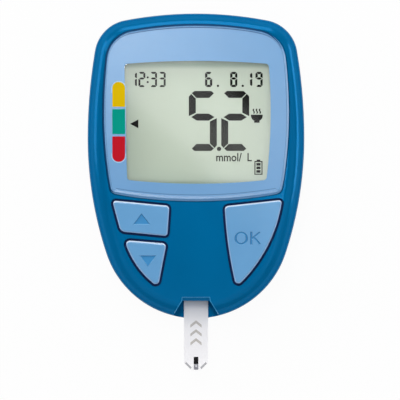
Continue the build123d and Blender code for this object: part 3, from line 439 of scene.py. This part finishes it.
def meshObject(name, bm, material):
    mesh = bpy.data.meshes.new(name)
    bm.to_mesh(mesh)
    bm.free()
    mesh.materials.append(material)
    return newObject(name, mesh)


def addPiece(name, bm, material, body):
    bmesh.ops.recalc_face_normals(bm, faces=bm.faces)
    piece = meshObject(name, bm, material)
    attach(piece, body)


def joinRings(bm, ring, following):
    for index in range(len(ring)):
        after = (index + 1) % len(ring)
        bm.faces.new((ring[index], ring[after], following[after], following[index]))


def addPad(bm, outline, seat, thickness, drawIn=0.0):
    # closed pad in the outline's shape, in millimetres; seat gives its underside's height at (x, y)
    # and drawIn is how much its top edge is pulled towards the middle
    middle = Vector((sum(x for x, y in outline) / len(outline), sum(y for x, y in outline) / len(outline)))
    low, high = [], []
    for x, y in outline:
        out = Vector((x, y)) - middle
        top = middle + out * (1 - drawIn / out.length)
        low.append(bm.verts.new(Vector((x, y, seat(x, y))) * mm))
        high.append(bm.verts.new(Vector((top.x, top.y, seat(top.x, top.y) + thickness)) * mm))
    bm.faces.new(high)
    bm.faces.new(list(reversed(low)))
    joinRings(bm, low, high)


def padPiece(name, outlines, seat, thickness, material, body="case", drawIn=0.0):
    bm = bmesh.new()
    for outline in outlines:
        addPad(bm, outline, seat, thickness, drawIn)
    addPiece(name, bm, material, body)


def bandPiece(name, bands, material, body="case"):
    # each band closes on itself through rows of points in millimetres, its cross-section one after another
    bm = bmesh.new()
    for rows in bands:
        rings = [[bm.verts.new(Vector(point) * mm) for point in row] for row in rows]
        for ring, following in zip(rings, rings[1:] + rings[:1]):
            joinRings(bm, ring, following)
    addPiece(name, bm, material, body)


def arcPoints(x, y, radius, start, end, steps):
    # angles in degrees
    angles = [radians(start + (end - start) * index / steps) for index in range(steps + 1)]
    return [(x + radius * cos(angle), y + radius * sin(angle)) for angle in angles]


def circlePoints(x, y, radius, corners=24):
    return arcPoints(x, y, radius, 0, 360 - 360 / corners, corners - 1)


def rectangle(x0, y0, x1, y1):
    return [(x0, y0), (x1, y0), (x1, y1), (x0, y1)]


def lifted(outline, apex, rise=0.0):
    # an outline laid over a crowned face
    return [(x, y, crownZ(x, y, apex) + rise) for x, y in outline]


def outlinesOf(node, apex, within):
    # closed outlines, in millimetres, round the faces of a CAD node that lie on a crowned face, within
    # that distance; the faces are to the left of each outline
    upright, weld = 0.9, 1e-6
    bm = bmesh.new()
    bm.from_mesh(nodes[node].data)
    bmesh.ops.remove_doubles(bm, verts=bm.verts, dist=weld)

    def onCrown(corner):
        x, y, z = corner.co / mm
        return abs(z - crownZ(x, y, apex)) < within

    picked = [face for face in bm.faces
              if face.normal.z > upright and all(onCrown(corner) for corner in face.verts)]
    inside = {face.index for face in picked}
    nextCorner = {}
    for face in picked:
        for loop in face.loops:
            if sum(other.index in inside for other in loop.edge.link_faces) == 1:
                nextCorner[loop.vert] = loop.link_loop_next.vert
    outlines = []
    while nextCorner:
        start, corner = nextCorner.popitem()
        outline = [start]
        while corner is not start:
            outline.append(corner)
            corner = nextCorner.pop(corner)
        outlines.append([(corner.co.x / mm, corner.co.y / mm) for corner in outline])
    bm.free()
    return outlines


def edgeOf(node, apex, within):
    # the widest of those outlines
    return max(outlinesOf(node, apex, within),
               key=lambda outline: max(x for x, y in outline) - min(x for x, y in outline))


def moveIn(outline, distance):
    # the outline moved to its left; distance is a function of the way it moves, (x, y)
    sharpest = 0.5  # below it a mitre isn't drawn out any further
    corners = [Vector(point) for point in outline]
    moved = []
    for last, here, coming in zip(corners[-1:] + corners, corners, corners[1:] + corners[:1]):
        before, after = (here - last).normalized(), (coming - here).normalized()
        left = Vector((-before.y - after.y, before.x + after.x)).normalized()
        mitre = max(sharpest, left.dot(Vector((-before.y, before.x))))
        moved.append(tuple(here + left * distance(left.x, left.y) / mitre))
    return moved


bezelEdge = edgeOf("display_bezel", crown["bezelZ"], crown["bezelWithin"])
bezelLip = {
    # rounded rim round the panel: how far it lies in from the panel's edge, and how far at the near side
    "crest": (0.0, 0.1), "inner": (0.06, 0.75),
    "outer": (0.1, 0.52), "outerRight": 0.42,  # the other way, over the panel's slanted edge and its gap
    "outerRise": (-0.45, -0.27), "crestRise": 0.05, "innerRise": (0.005, -0.25),
    "colour": srgb(102, 150, 197),
}
bezelShadowLine = {
    # painted shadow line inside the rim, widest along the panel's far side
    "start": (0.15, 1.05),
    "width": {"side": 0.06, "far": 0.25, "near": 0.12},
    "rise": (-0.004, 0.006),
    "colour": srgb(52, 96, 146),
}
bezelGapShade = {
    # painted shade on the slanted edge and its gap at the panel's far and left sides
    "outer": 0.58, "inner": 0.2,  # out from the panel's edge
    "slope": 0.64, "rise": (-0.15, 0.02),
    "colour": srgb(2, 62, 106),
}


def sideShare(way, power):
    # 1 where an outline moves that way, down to 0 across it, the sooner the higher the power
    return max(0.0, way) ** power


def changing(usual, near):
    # a distance that changes towards the panel's near side, where the way in is +Y
    return lambda x, y: usual + (near - usual) * sideShare(y, 6)


def trimBezel(name, steps, material):
    # a band from outlines and their rises over the panel's face
    bandPiece(name, [[lifted(outline, crown["bezelZ"], rise) for outline, rise in steps]], material)


def roundRim(look):
    out, moreRight = changing(*look["outer"]), look["outerRight"] - look["outer"][0]
    outer = moveIn(bezelEdge, lambda x, y: -out(x, y) - moreRight * sideShare(-x, 6))
    crest, inner = (moveIn(bezelEdge, changing(*look[part])) for part in ("crest", "inner"))
    steps = [(outer, rise) for rise in look["outerRise"]]
    steps += [(crest, look["crestRise"])] + [(inner, rise) for rise in look["innerRise"]]
    trimBezel("bezelLip", steps, plastic("lipGlossBlue", look["colour"], 0.25, tone=0.02))


def drawShadowLine(look):
    # painted shadow line, widest on the far side
    start, width = changing(*look["start"]), look["width"]
    outer = moveIn(bezelEdge, start)
    inner = moveIn(bezelEdge, lambda x, y: start(x, y) + width["side"]
                   + (width["near" if y > 0 else "far"] - width["side"]) * sideShare(abs(y), 4))
    low, high = look["rise"]
    trimBezel("bezelShadowLine", [(outer, low), (outer, high), (inner, high), (inner, low)],
              plastic("shadowLineBlue", look["colour"], 0.35, tone=0.03, specular=0.2))


def shadeGroove(look):
    def onSlant(reach, rise):
        # the edge moved out by reach at the far and left sides, on the face that falls away from it there
        moved = moveIn(bezelEdge, lambda x, y: -reach * min(1.0, sideShare(-y, 2) + sideShare(x, 2)))
        falls = [look["slope"] * (Vector(point) - Vector(origin)).length
                 for point, origin in zip(moved, bezelEdge)]
        return [(x, y, crownZ(x, y, crown["bezelZ"]) - fall + rise) for (x, y), fall in zip(moved, falls)]

    low, high = look["rise"]
    corners = [(look["outer"], low), (look["outer"], high), (look["inner"], high), (look["inner"], low)]
    bandPiece("bezelGapShade", [[onSlant(*corner) for corner in corners]],
              plastic("grooveShadeBlue", look["colour"], 0.4, tone=0.03, specular=0.1))


roundRim(bezelLip)
drawShadowLine(bezelShadowLine)
shadeGroove(bezelGapShade)
print("bezel trimmed")

symbolEdge = {
    "depth": 0.25, "within": 0.02,  # of the sunk symbols
    "width": 0.1,  # of their sloped sides
    "rim": {"up_key": 0.02, "down_key": 0.02, "ok_key": 0.07},  # how far the sides reach out of the symbol
    "nearRim": 0.16,  # and how much further at its near side, where they catch the light
    "topRise": 0.004, "footRise": 0.005, "lowRise": -0.02,
    # the sides are painted dark as shade, and pale on their near side as a painted highlight
    "litTurn": (0.2, 0.6), "colour": srgb(26, 94, 146), "nearHighlight": srgb(128, 192, 230),
}


def slopeSymbols(look):
    # sloped sides of the symbols sunk in the keys, from the key's face to the symbol's floor, with painted
    # shade and, where they face the near side, a painted highlight
    floorTop, low = crown["keyZ"] - look["depth"], look["lowRise"]
    material = plastic("keySymbolSideShading", look["colour"], 0.25, tone=0.02)
    tree, shader = opened(material)
    lit = rangeNode(tree, splitAxes(tree, objectNormal(tree))["Y"], *look["litTurn"])
    paintOver(tree, shader, lit, look["nearHighlight"])
    for key in keyNames:
        bands = []
        for outline in outlinesOf(key, floorTop, look["within"]):
            side = moveIn(outline, lambda x, y: -look["rim"][key] - look["nearRim"] * sideShare(y, 2))
            foot = moveIn(outline, lambda x, y: look["width"])
            bands.append([lifted(side, floorTop, low), lifted(side, crown["keyZ"], look["topRise"]),
                          lifted(foot, floorTop, look["footRise"]), lifted(foot, floorTop, low)])
        bandPiece(key.replace("_key", "SymbolSides"), bands, material, key)


slopeSymbols(symbolEdge)
print("key symbols edged")

keyGapShade = {
    "inner": 0.4, "outer": 1.0,  # from the rounded edge of the key's face outwards
    "depth": 1.0, "thickness": 0.3, "within": 0.003,
    # painted shade of the deep gap
    "colour": srgb(2, 34, 84),
}


def shadeKeyGaps(look):
    # dark rib round each key, which closes the gap to the shell; its navy is painted shade for the deep gap
    material = plastic("gapShadeNavy", look["colour"], 0.5, tone=0.04, specular=0.1)
    top = crown["keyZ"] - look["depth"]
    bottom = top - look["thickness"]
    for key in keyNames:
        face = edgeOf(key, crown["keyZ"], look["within"])
        inner = moveIn(face, lambda x, y: -look["inner"])
        outer = moveIn(face, lambda x, y: -look["outer"])
        rows = [lifted(inner, top), lifted(outer, top), lifted(outer, bottom), lifted(inner, bottom)]
        bandPiece(key.replace("_key", "KeyGapShade"), [rows], material, key)


shadeKeyGaps(keyGapShade)
print("keys flanged")

portBead = {
    # the port's rim on the right of the middle, from the case's tip to the back of the notch
    "path": [(5.75, -38.45), (3.68, -35.05), (3.58, -34.12)],
    "steps": 14, "sides": 8, "radius": 0.11, "sunk": 0.045,
    "above": 30,  # the shell's face is looked for from here downwards
    # lighter than the shell: a painted highlight over the bead's own rounded shape
    "colour": srgb(40, 138, 190),
}


def beadPort(look):
    shell = BVHTree.FromObject(nodes["front_shell"], bpy.context.evaluated_depsgraph_get())
    corners = [Vector(point) for point in look["path"]]
    corners += [Vector((-point.x, point.y)) for point in reversed(corners)]
    points = []
    for start, end in zip(corners, corners[1:]):
        for index in range(look["steps"]):
            spot = start.lerp(end, index / look["steps"])
            hit = shell.ray_cast(Vector((spot.x, spot.y, look["above"])) * mm, Vector((0, 0, -1)))[0]
            points.append(Vector((spot.x, spot.y, hit.z / mm - look["sunk"])))
    turns = [2 * pi * side / look["sides"] for side in range(look["sides"])]
    rings = []
    bm = bmesh.new()
    for index, point in enumerate(points):
        way = (points[min(index + 1, len(points) - 1)] - points[max(index - 1, 0)]).normalized()
        aside = way.cross(Vector((0, 0, 1))).normalized()
        over = aside.cross(way)
        rings.append([bm.verts.new((point + (aside * cos(turn) + over * sin(turn)) * look["radius"]) * mm)
                      for turn in turns])
    for ring, following in zip(rings, rings[1:]):
        joinRings(bm, ring, following)
    bm.faces.new(rings[0])
    bm.faces.new(list(reversed(rings[-1])))
    addPiece("portBead", bm, plastic("beadHighlightBlue", look["colour"], 0.3, tone=0.03), "case")


beadPort(portBead)
print("port edged")

rangeBars = {
    "x": -19.98, "halfWidth": 1.66,
    "top": 21.55,  # far end of the yellow bar
    "lengths": (6.45, 6.45, 6.6),  # yellow, green, red
    "gap": 0.6,
    "endRadius": 1.6, "jointRadius": 0.1, "cornerSteps": 10,
    "surround": 0.24,  # pale rim printed round and between the bars
    "ink": 0.03, "sunk": 0.004,  # thickness, and how deep it starts in the panel
    "drawIn": 0.02,
    "colours": {"High": srgb(216, 180, 0), "Good": srgb(0, 148, 131), "Low": srgb(188, 22, 38)},
    "surroundColour": srgb(146, 190, 222),
}


def barOutline(look, low, high, lowRound, highRound, rim=0.0):
    left, right = look["x"] - look["halfWidth"] - rim, look["x"] + look["halfWidth"] + rim
    low, high, lowRound, highRound = low - rim, high + rim, lowRound + rim, highRound + rim
    corners = [(left + lowRound, low + lowRound, lowRound, 180),
               (right - lowRound, low + lowRound, lowRound, 270),
               (right - highRound, high - highRound, highRound, 0),
               (left + highRound, high - highRound, highRound, 90)]
    return [point for x, y, radius, start in corners
            for point in arcPoints(x, y, radius, start, start + 90, look["cornerSteps"])]


def printRangeBars(look):
    # high, good and low range, screen printed on the bezel beside the display
    top, end, joint = look["top"], look["endRadius"], look["jointRadius"]
    low = top - sum(look["lengths"]) - 2 * look["gap"]

    def onBezel(x, y):
        return crownZ(x, y, crown["bezelZ"]) - look["sunk"]

    padPiece("rangeSurround", [barOutline(look, low, top, end, end, look["surround"])], onBezel,
             look["ink"] / 2, plastic("inkPaleBlue", look["surroundColour"], 0.3, tone=0.03))
    rounds = {"High": (joint, end), "Good": (joint, joint), "Low": (end, joint)}
    for (name, colour), length in zip(look["colours"].items(), look["lengths"]):
        padPiece("range" + name, [barOutline(look, top - length, top, *rounds[name])], onBezel, look["ink"],
                 plastic("ink" + name, colour, 0.4, tone=0.03, specular=0.02), drawIn=look["drawIn"])
        top -= length + look["gap"]


printRangeBars(rangeBars)
print("range bars printed")


def segmentInk(name, colour, tone):
    return plastic(name, colour, 0.5, 9000.0, depth=0.001, tone=tone, specular=0.1)


def sheenedSegments():
    # the large segments are painted lighter towards the near side of the display, a painted reflection of
    # the sheen across it
    look = {"colour": srgb(46, 48, 44), "fromY": 13.0, "toY": 8.0}
    material = segmentInk("lcdSegmentSheen", srgb(16, 17, 15), 0.14)
    tree, shader = opened(material)
    y = splitAxes(tree, objectPlace(tree))["Y"]
    paintedSheen = rangeNode(tree, y, look["toY"] * mm, look["fromY"] * mm, 1.0, 0.0)
    paintOver(tree, shader, paintedSheen, look["colour"])
    return material


lcdDark = segmentInk("lcdSegmentDark", srgb(10, 11, 9), 0.08)
lcdGrey = segmentInk("lcdSegmentGrey", srgb(16, 17, 15), 0.14)
lcdSheened = sheenedSegments()
lcd = {
    "lift": 0.006, "ink": 0.02,  # height over the film, and thickness
    "litSegments": {"1": "bc", "2": "abged", "3": "abgcd", "5": "afgcd", "6": "afgecd", "8": "abcdefg",
                    "9": "abfgcd"},
}
segmentCut = {
    "split": 0.564,  # height of a digit's middle bar, as a share of the digit
    "slit": 0.7,  # gap along a mitred end, as a share of the digit's gap
    # the others are shares of a segment's thickness
    "corner": 0.78, "tip": 0.33,  # where the digit's rounded corner leaves its side and crosses the mitre
    "point": 0.3, "shoulder": 1.14,  # of the middle bar's ends
    "foot": 0.58, "outerFoot": 0.1,  # of the upright bars, over the middle bar
}
displayLines = {
    "timeDigits": {"y": 20.21, "height": 3.93, "width": 1.78, "thick": 0.5, "gap": 0.07,
                   "digits": (("1", -17.05), ("2", -14.88), ("3", -11.86), ("3", -9.63)),
                   "dots": ((-12.48, 22.72), (-12.48, 21.5)), "dotRadius": 0.27, "material": lcdDark},
    "dateDigits": {"y": 20.21, "height": 3.93, "width": 1.86, "thick": 0.6, "gap": 0.06,
                   "digits": (("6", 2.34), ("8", 8.83), ("1", 12.7), ("9", 15.38)),
                   "dots": ((5.68, 20.52), (12.09, 20.52)), "dotRadius": 0.3, "material": lcdDark},
    "readingDigits": {"y": 3.7, "height": 15.5, "width": 7.24, "thick": 1.8, "gap": 0.22,
                      "digits": (("5", -1.85), ("2", 6.53)),
                      "dots": ((5.95, 4.23),), "dotRadius": 0.56, "material": lcdSheened},
}


def onFilm(x, y):
    return lcdTop + lcd["lift"]


def segmentOutline(letter, width, height, thick, gap):
    # one of a digit's seven segments, from the digit's lower left corner
    middle, slit = height * segmentCut["split"], segmentCut["slit"] * gap
    corner, tip, point, shoulder, foot, outerFoot = (
        segmentCut[part] * thick for part in ("corner", "tip", "point", "shoulder", "foot", "outerFoot"))
    if letter in "ad":  # top and foot, mitred at both ends
        left = [(tip + slit, tip), (corner + slit / 2, 0), (thick + slit, thick)]
        right = [(width - x, y) for x, y in left]
        points = [left[0], left[1], right[1], right[0], right[2], left[2]]
        return [(x, height - y if letter == "a" else y) for x, y in points]
    if letter == "g":  # middle, a long hexagon
        point, half = point + slit / 2, thick / 2
        return [(point, middle), (shoulder, middle + half), (width - shoulder, middle + half),
                (width - point, middle), (width - shoulder, middle - half), (shoulder, middle - half)]
    upper = letter in "fb"
    room = height - middle if upper else middle
    # inwards from the digit's side, and outwards from its middle bar
    points = [(tip, room - tip - slit), (thick, room - thick - slit), (thick, foot + slit / 2),
              (0, outerFoot + slit / 2), (0, room - corner - slit / 2)]
    return [(x if letter in "fe" else width - x, middle + y if upper else middle - y) for x, y in points]


def driveDigits(name, look):
    outlines = []
    for digit, x in look["digits"]:
        for letter in lcd["litSegments"][digit]:
            outline = segmentOutline(letter, look["width"], look["height"], look["thick"], look["gap"])
            outlines.append([(x + px, look["y"] + py) for px, py in outline])
    outlines += [circlePoints(x, y, look["dotRadius"]) for x, y in look["dots"]]
    padPiece(name, outlines, onFilm, lcd["ink"], look["material"])


def drawPointer():
    # small triangle that points at one of the range bars
    look = {"tipX": -17.05, "baseX": -14.9, "y": 10.7, "halfHeight": 1.14}
    base, y, half = look["baseX"], look["y"], look["halfHeight"]
    outline = [(look["tipX"], y), (base, y - half), (base, y + half)]
    padPiece("rangePointer", [outline], onFilm, lcd["ink"], lcdDark)


def drawMealBowl():
    # a bowl on a small foot, with three wisps over it
    look = {"x": 15.73, "rimY": 12.85, "radius": 1.52, "lip": 0.22, "bowlSteps": 18,
            "footHalf": 0.7, "footHeight": 0.34, "footInBowl": 0.1, "footInk": 0.9,
            "wisps": (-0.8, 0.0, 0.8), "wispLow": 0.5, "wispHeight": 1.25, "wispHalf": 0.17,
            "wispSway": 0.13, "wispSteps": 8}
    x, rim, radius, footHalf = look["x"], look["rimY"], look["radius"], look["footHalf"]
    foot = rectangle(x - footHalf, rim - radius - look["footHeight"],
                     x + footHalf, rim - radius + look["footInBowl"])
    bm = bmesh.new()
    addPad(bm, arcPoints(x, rim, radius, 180, 360, look["bowlSteps"]), onFilm, lcd["ink"])
    addPad(bm, rectangle(x - radius, rim, x + radius, rim + look["lip"]), onFilm, lcd["ink"])
    addPad(bm, foot, onFilm, lcd["ink"] * look["footInk"])
    shares = [index / look["wispSteps"] for index in range(look["wispSteps"] + 1)]
    for offset in look["wisps"]:
        line = [(x + offset + look["wispSway"] * sin(2 * pi * share),
                 rim + look["wispLow"] + look["wispHeight"] * share) for share in shares]
        left = [(centre - look["wispHalf"], y) for centre, y in line]
        right = [(centre + look["wispHalf"], y) for centre, y in line]
        addPad(bm, right + list(reversed(left)), onFilm, lcd["ink"])
    addPiece("mealMark", bm, lcdDark, "case")


def drawBatteryGauge():
    # an upright cell outline with three charge bars
    look = {"x": 16.15, "low": -2.45, "height": 3.55, "half": 1.05, "line": 0.27, "capHalf": 0.45,
            "capHeight": 0.36, "bars": 3, "barGap": 0.24}
    x, low, half, line, gap = look["x"], look["low"], look["half"], look["line"], look["barGap"]
    high = low + look["height"]
    shapes = [rectangle(x - half, low, x + half, low + line),
              rectangle(x - half, high - line, x + half, high),
              rectangle(x - half, low + line, x - half + line, high - line),
              rectangle(x + half - line, low + line, x + half, high - line),
              rectangle(x - look["capHalf"], high, x + look["capHalf"], high + look["capHeight"])]
    inner = half - line - gap
    pitch = (look["height"] - 2 * line - gap) / look["bars"]
    for index in range(look["bars"]):
        start = low + line + gap + pitch * index
        shapes.append(rectangle(x - inner, start, x + inner, start + pitch - gap))
    padPiece("batteryGauge", shapes, onFilm, lcd["ink"], lcdDark)


def setUnits():
    look = {"words": (("unitMmol", "mmol/", 5.12), ("unitL", "L", 13.15)), "y": 1.06, "size": 3.0,
            "squeeze": 0.86, "weight": 0.045, "curveSteps": 4, "weld": 1e-7}
    for name, word, x in look["words"]:
        curve = bpy.data.curves.new(name, "FONT")
        curve.body = word
        curve.size = look["size"] * mm
        curve.offset = look["weight"] * mm
        curve.extrude = lcd["ink"] / 2 * mm
        curve.resolution_u = look["curveSteps"]
        carrier = newObject(name, curve)
        bpy.context.view_layer.update()
        mesh = bpy.data.meshes.new_from_object(carrier.evaluated_get(bpy.context.evaluated_depsgraph_get()))
        bpy.data.objects.remove(carrier)
        bm = bmesh.new()
        bm.from_mesh(mesh)
        for vertex in bm.verts:
            vertex.co.x = vertex.co.x * look["squeeze"] + x * mm
            vertex.co.y += look["y"] * mm
            vertex.co.z += (onFilm(0, 0) + lcd["ink"] / 2) * mm
        bmesh.ops.remove_doubles(bm, verts=bm.verts, dist=look["weld"])
        addPiece(name, bm, lcdGrey, "case")


for name, look in displayLines.items():
    driveDigits(name, look)
drawPointer()
drawMealBowl()
drawBatteryGauge()
setUnits()
print("display driven")

stripPrint = {
    "ink": 0.01, "sunk": 0.001,  # thickness, and how deep it starts in the cover
    "chevronTips": (-40.2, -42.5, -44.8), "chevronHalf": 1.45, "chevronRise": 1.15, "chevronBand": 0.75,
    "chevronColour": srgb(196, 192, 188),
    "cornerCut": 1.9,  # the chamfer at the strip's tip
    # grey strokes just inside the chamfered tip's edges, painted shade of the chamfers
    "tickLength": 2.05, "tickWidth": 0.52, "tickInset": 0.27, "tipShadeColour": srgb(176, 176, 180),
    "channel": (-0.55, -53.0, 0.6, -51.6), "channelColour": srgb(128, 128, 138),
    "bead": (0.05, -52.05, 0.27), "beadInk": 0.02, "beadColour": srgb(206, 206, 212),
}


def printStrip(look):
    half, rise, band = look["chevronHalf"], look["chevronRise"], look["chevronBand"]
    chevrons = [[(0, tip), (-half, tip - rise), (-half, tip - rise - band), (0, tip - band),
                 (half, tip - rise - band), (half, tip - rise)] for tip in look["chevronTips"]]
    cut, inset = look["cornerCut"] / 2, look["tickInset"] / sqrt(2)
    middleX, middleY = stripHigh.x - cut - inset, stripLow.y + cut + inset
    along, out = look["tickLength"] / 2 / sqrt(2), look["tickWidth"] / 2 / sqrt(2)
    tick = [(along + out, along - out), (along - out, along + out),
            (-along - out, -along + out), (-along + out, -along - out)]
    tipShades = [[(side * (middleX + x), middleY + y) for x, y in tick] for side in (1, -1)]
    prints = [
        ("stripChevrons", chevrons, plastic("inkStripGrey", look["chevronColour"], 0.5, tone=0.03), "ink"),
        ("stripTipShade", tipShades, plastic("tipShadeGrey", look["tipShadeColour"], 0.5, tone=0.05), "ink"),
        ("sampleChannel", [rectangle(*look["channel"])],
         plastic("channelGrey", look["channelColour"], 0.35, tone=0.08), "ink"),
        ("sampleInlet", [circlePoints(*look["bead"])],
         plastic("inletPale", look["beadColour"], 0.3, tone=0.04), "beadInk"),
    ]
    for name, outlines, material, ink in prints:
        padPiece(name, outlines, lambda x, y: coverTop - look["sunk"], look[ink], material, "test_strip")


printStrip(stripPrint)
print("strip printed")

floorPaper = {
    "half": 3.0, "parts": 8, "drop": 0.04,
    "colour": srgb(238, 238, 238), "roughness": 0.9, "specular": 0.1,
    "cloud": (12.0, 3.0), "cloudEdge": (0.3, 0.7), "cloudShade": 0.99,
    "glow": 0.955,  # share of its own light in what is seen of it
}
studio = {
    "skyAbove": 0.02, "skyAround": 0.3, "skyHorizon": 1.0,
    "aboveRise": (0.35, 0.95), "horizonRise": (0.03, 0.1),
    "lampDistance": 0.9,
    # azimuth from +X and angle from the zenith in degrees, width and height in metres,
    # and the light's share of the level at which a colour renders as it is written
    "lamps": {
        "upperLeft": (118, 13, 0.22, 0.22, 0.22),
        "farKey": (95, 32, 0.42, 0.42, 0.12),
        "farLow": (90, 62, 0.75, 0.34, 0.14),
        "farLeft": (145, 50, 0.4, 0.3, 0.055),
        "leftSide": (165, 69, 0.6, 0.35, 0.08),
        "rightSide": (8, 78, 0.6, 0.25, 0.05),
        "rightBroad": (5, 36, 0.7, 0.5, 0.055),
        "rightUpper": (8, 8, 0.1, 0.1, 0.04),
        "nearUpper": (270, 28, 1.1, 0.66, 0.155),
    },
    # small panel close over the display, whose film mirrors it with its side slantwise across
    "displayPanel": {"place": (0.0027, 0.0168, 0.2), "turn": -41.0, "length": 0.09, "width": 0.034,
                     "radiance": 0.88, "softRim": 0.2},
}


def layFloor(look):
    bm = bmesh.new()
    bmesh.ops.create_grid(bm, x_segments=look["parts"], y_segments=look["parts"], size=look["half"])
    for vertex in bm.verts:
        vertex.co.z = -look["drop"] * mm
    material, tree, shader = newMaterial("floorPaper")
    tone = rangeNode(tree, noiseNode(tree, *look["cloud"]), *look["cloudEdge"])
    paper = blendColour(tree, tone, shade(look["colour"], look["cloudShade"]), look["colour"])
    fill(tree, shader, {"Base Color": paper, "Roughness": look["roughness"],
                        "Specular IOR Level": look["specular"]})
    glow = tree.nodes.new("ShaderNodeEmission")
    path = tree.nodes.new("ShaderNodeLightPath").outputs
    seen = mathNode(tree, "MAXIMUM", path["Is Camera Ray"],
                    mathNode(tree, "MAXIMUM", path["Is Glossy Ray"], path["Is Transmission Ray"]))
    share = mathNode(tree, "MULTIPLY", seen, look["glow"])
    mixShaders(tree, share, shader.outputs["BSDF"], glow.outputs["Emission"])
    floor = meshObject("floor", bm, material)


def softenEdges(lamp, rim):
    # fades the light out over the outer share of its panel
    middle = 0.5
    lamp.use_nodes = True
    tree = lamp.node_tree
    place = splitAxes(tree, tree.nodes.new("ShaderNodeNewGeometry").outputs["Parametric"])
    fades = []
    for axis in ("X", "Y"):
        fromMiddle = mathNode(tree, "ABSOLUTE", mathNode(tree, "SUBTRACT", place[axis], middle))
        fades.append(rangeNode(tree, fromMiddle, middle - rim, middle, 1.0, 0.0))
    fill(tree, tree.nodes["Emission"], {"Strength": mathNode(tree, "MULTIPLY", *fades)})


def hangLamp(name, place, width, height, radiance, turn=None, softRim=None):
    # faces the meter, or straight down and turned about the vertical
    lamp = bpy.data.lights.new(name, "AREA")
    lamp.shape = "RECTANGLE"
    lamp.size = width
    lamp.size_y = height
    lamp.energy = radiance * pi * width * height
    if softRim:
        softenEdges(lamp, softRim)
    holder = newObject(name, lamp)
    holder.location = place
    if turn is None:
        holder.rotation_euler = place.to_track_quat("Z", "Y").to_euler()
    else:
        holder.rotation_euler = (0, 0, radians(turn))
    holder.visible_camera = False


def lightStudio(look):
    world = bpy.data.worlds.new("studioAir")
    bpy.context.scene.world = world
    world.use_nodes = True
    tree = world.node_tree
    up = splitAxes(tree, tree.nodes.new("ShaderNodeTexCoord").outputs["Generated"])["Z"]
    overhead = rangeNode(tree, up, *look["aboveRise"], look["skyAround"], look["skyAbove"])
    horizon = rangeNode(tree, up, *look["horizonRise"], look["skyHorizon"] - look["skyAround"], 0.0)
    strength = mathNode(tree, "ADD", overhead, horizon)
    fill(tree, tree.nodes["Background"], {"Color": (1, 1, 1, 1), "Strength": strength})
    distance = look["lampDistance"]
    for name, (azimuth, zenith, width, height, level) in look["lamps"].items():
        turn, tilt = radians(azimuth), radians(zenith)
        towards = Vector((cos(turn) * sin(tilt), sin(turn) * sin(tilt), cos(tilt)))
        radiance = level * pi * distance ** 2 / (width * height * cos(tilt))
        hangLamp(name, towards * distance, width, height, radiance)
    panel = look["displayPanel"]
    hangLamp("displayPanel", Vector(panel["place"]), panel["length"], panel["width"], panel["radiance"],
             panel["turn"], panel["softRim"])


def setCamera():
    # straight down on the face; the long lens keeps the sides of the case out of sight
    look = {"lens": 1200.0, "sensor": 36.0, "clip": (0.1, 20.0),
            "pictureWidth": 103.65, "x": 1.04, "y": -9.0, "sharpZ": 12.0}
    camera = bpy.data.cameras.new("camera")
    camera.lens = look["lens"]
    camera.sensor_width = look["sensor"]
    distance = look["pictureWidth"] / 2 / tan(atan(look["sensor"] / 2 / look["lens"]))
    holder = newObject("camera", camera)
    holder.location = Vector((look["x"], look["y"], look["sharpZ"] + distance)) * mm
    camera.clip_start, camera.clip_end = look["clip"]
    bpy.context.scene.camera = holder


layFloor(floorPaper)
lightStudio(studio)
setCamera()
bpy.context.scene.view_settings.view_transform = "Standard"
print("studio set")
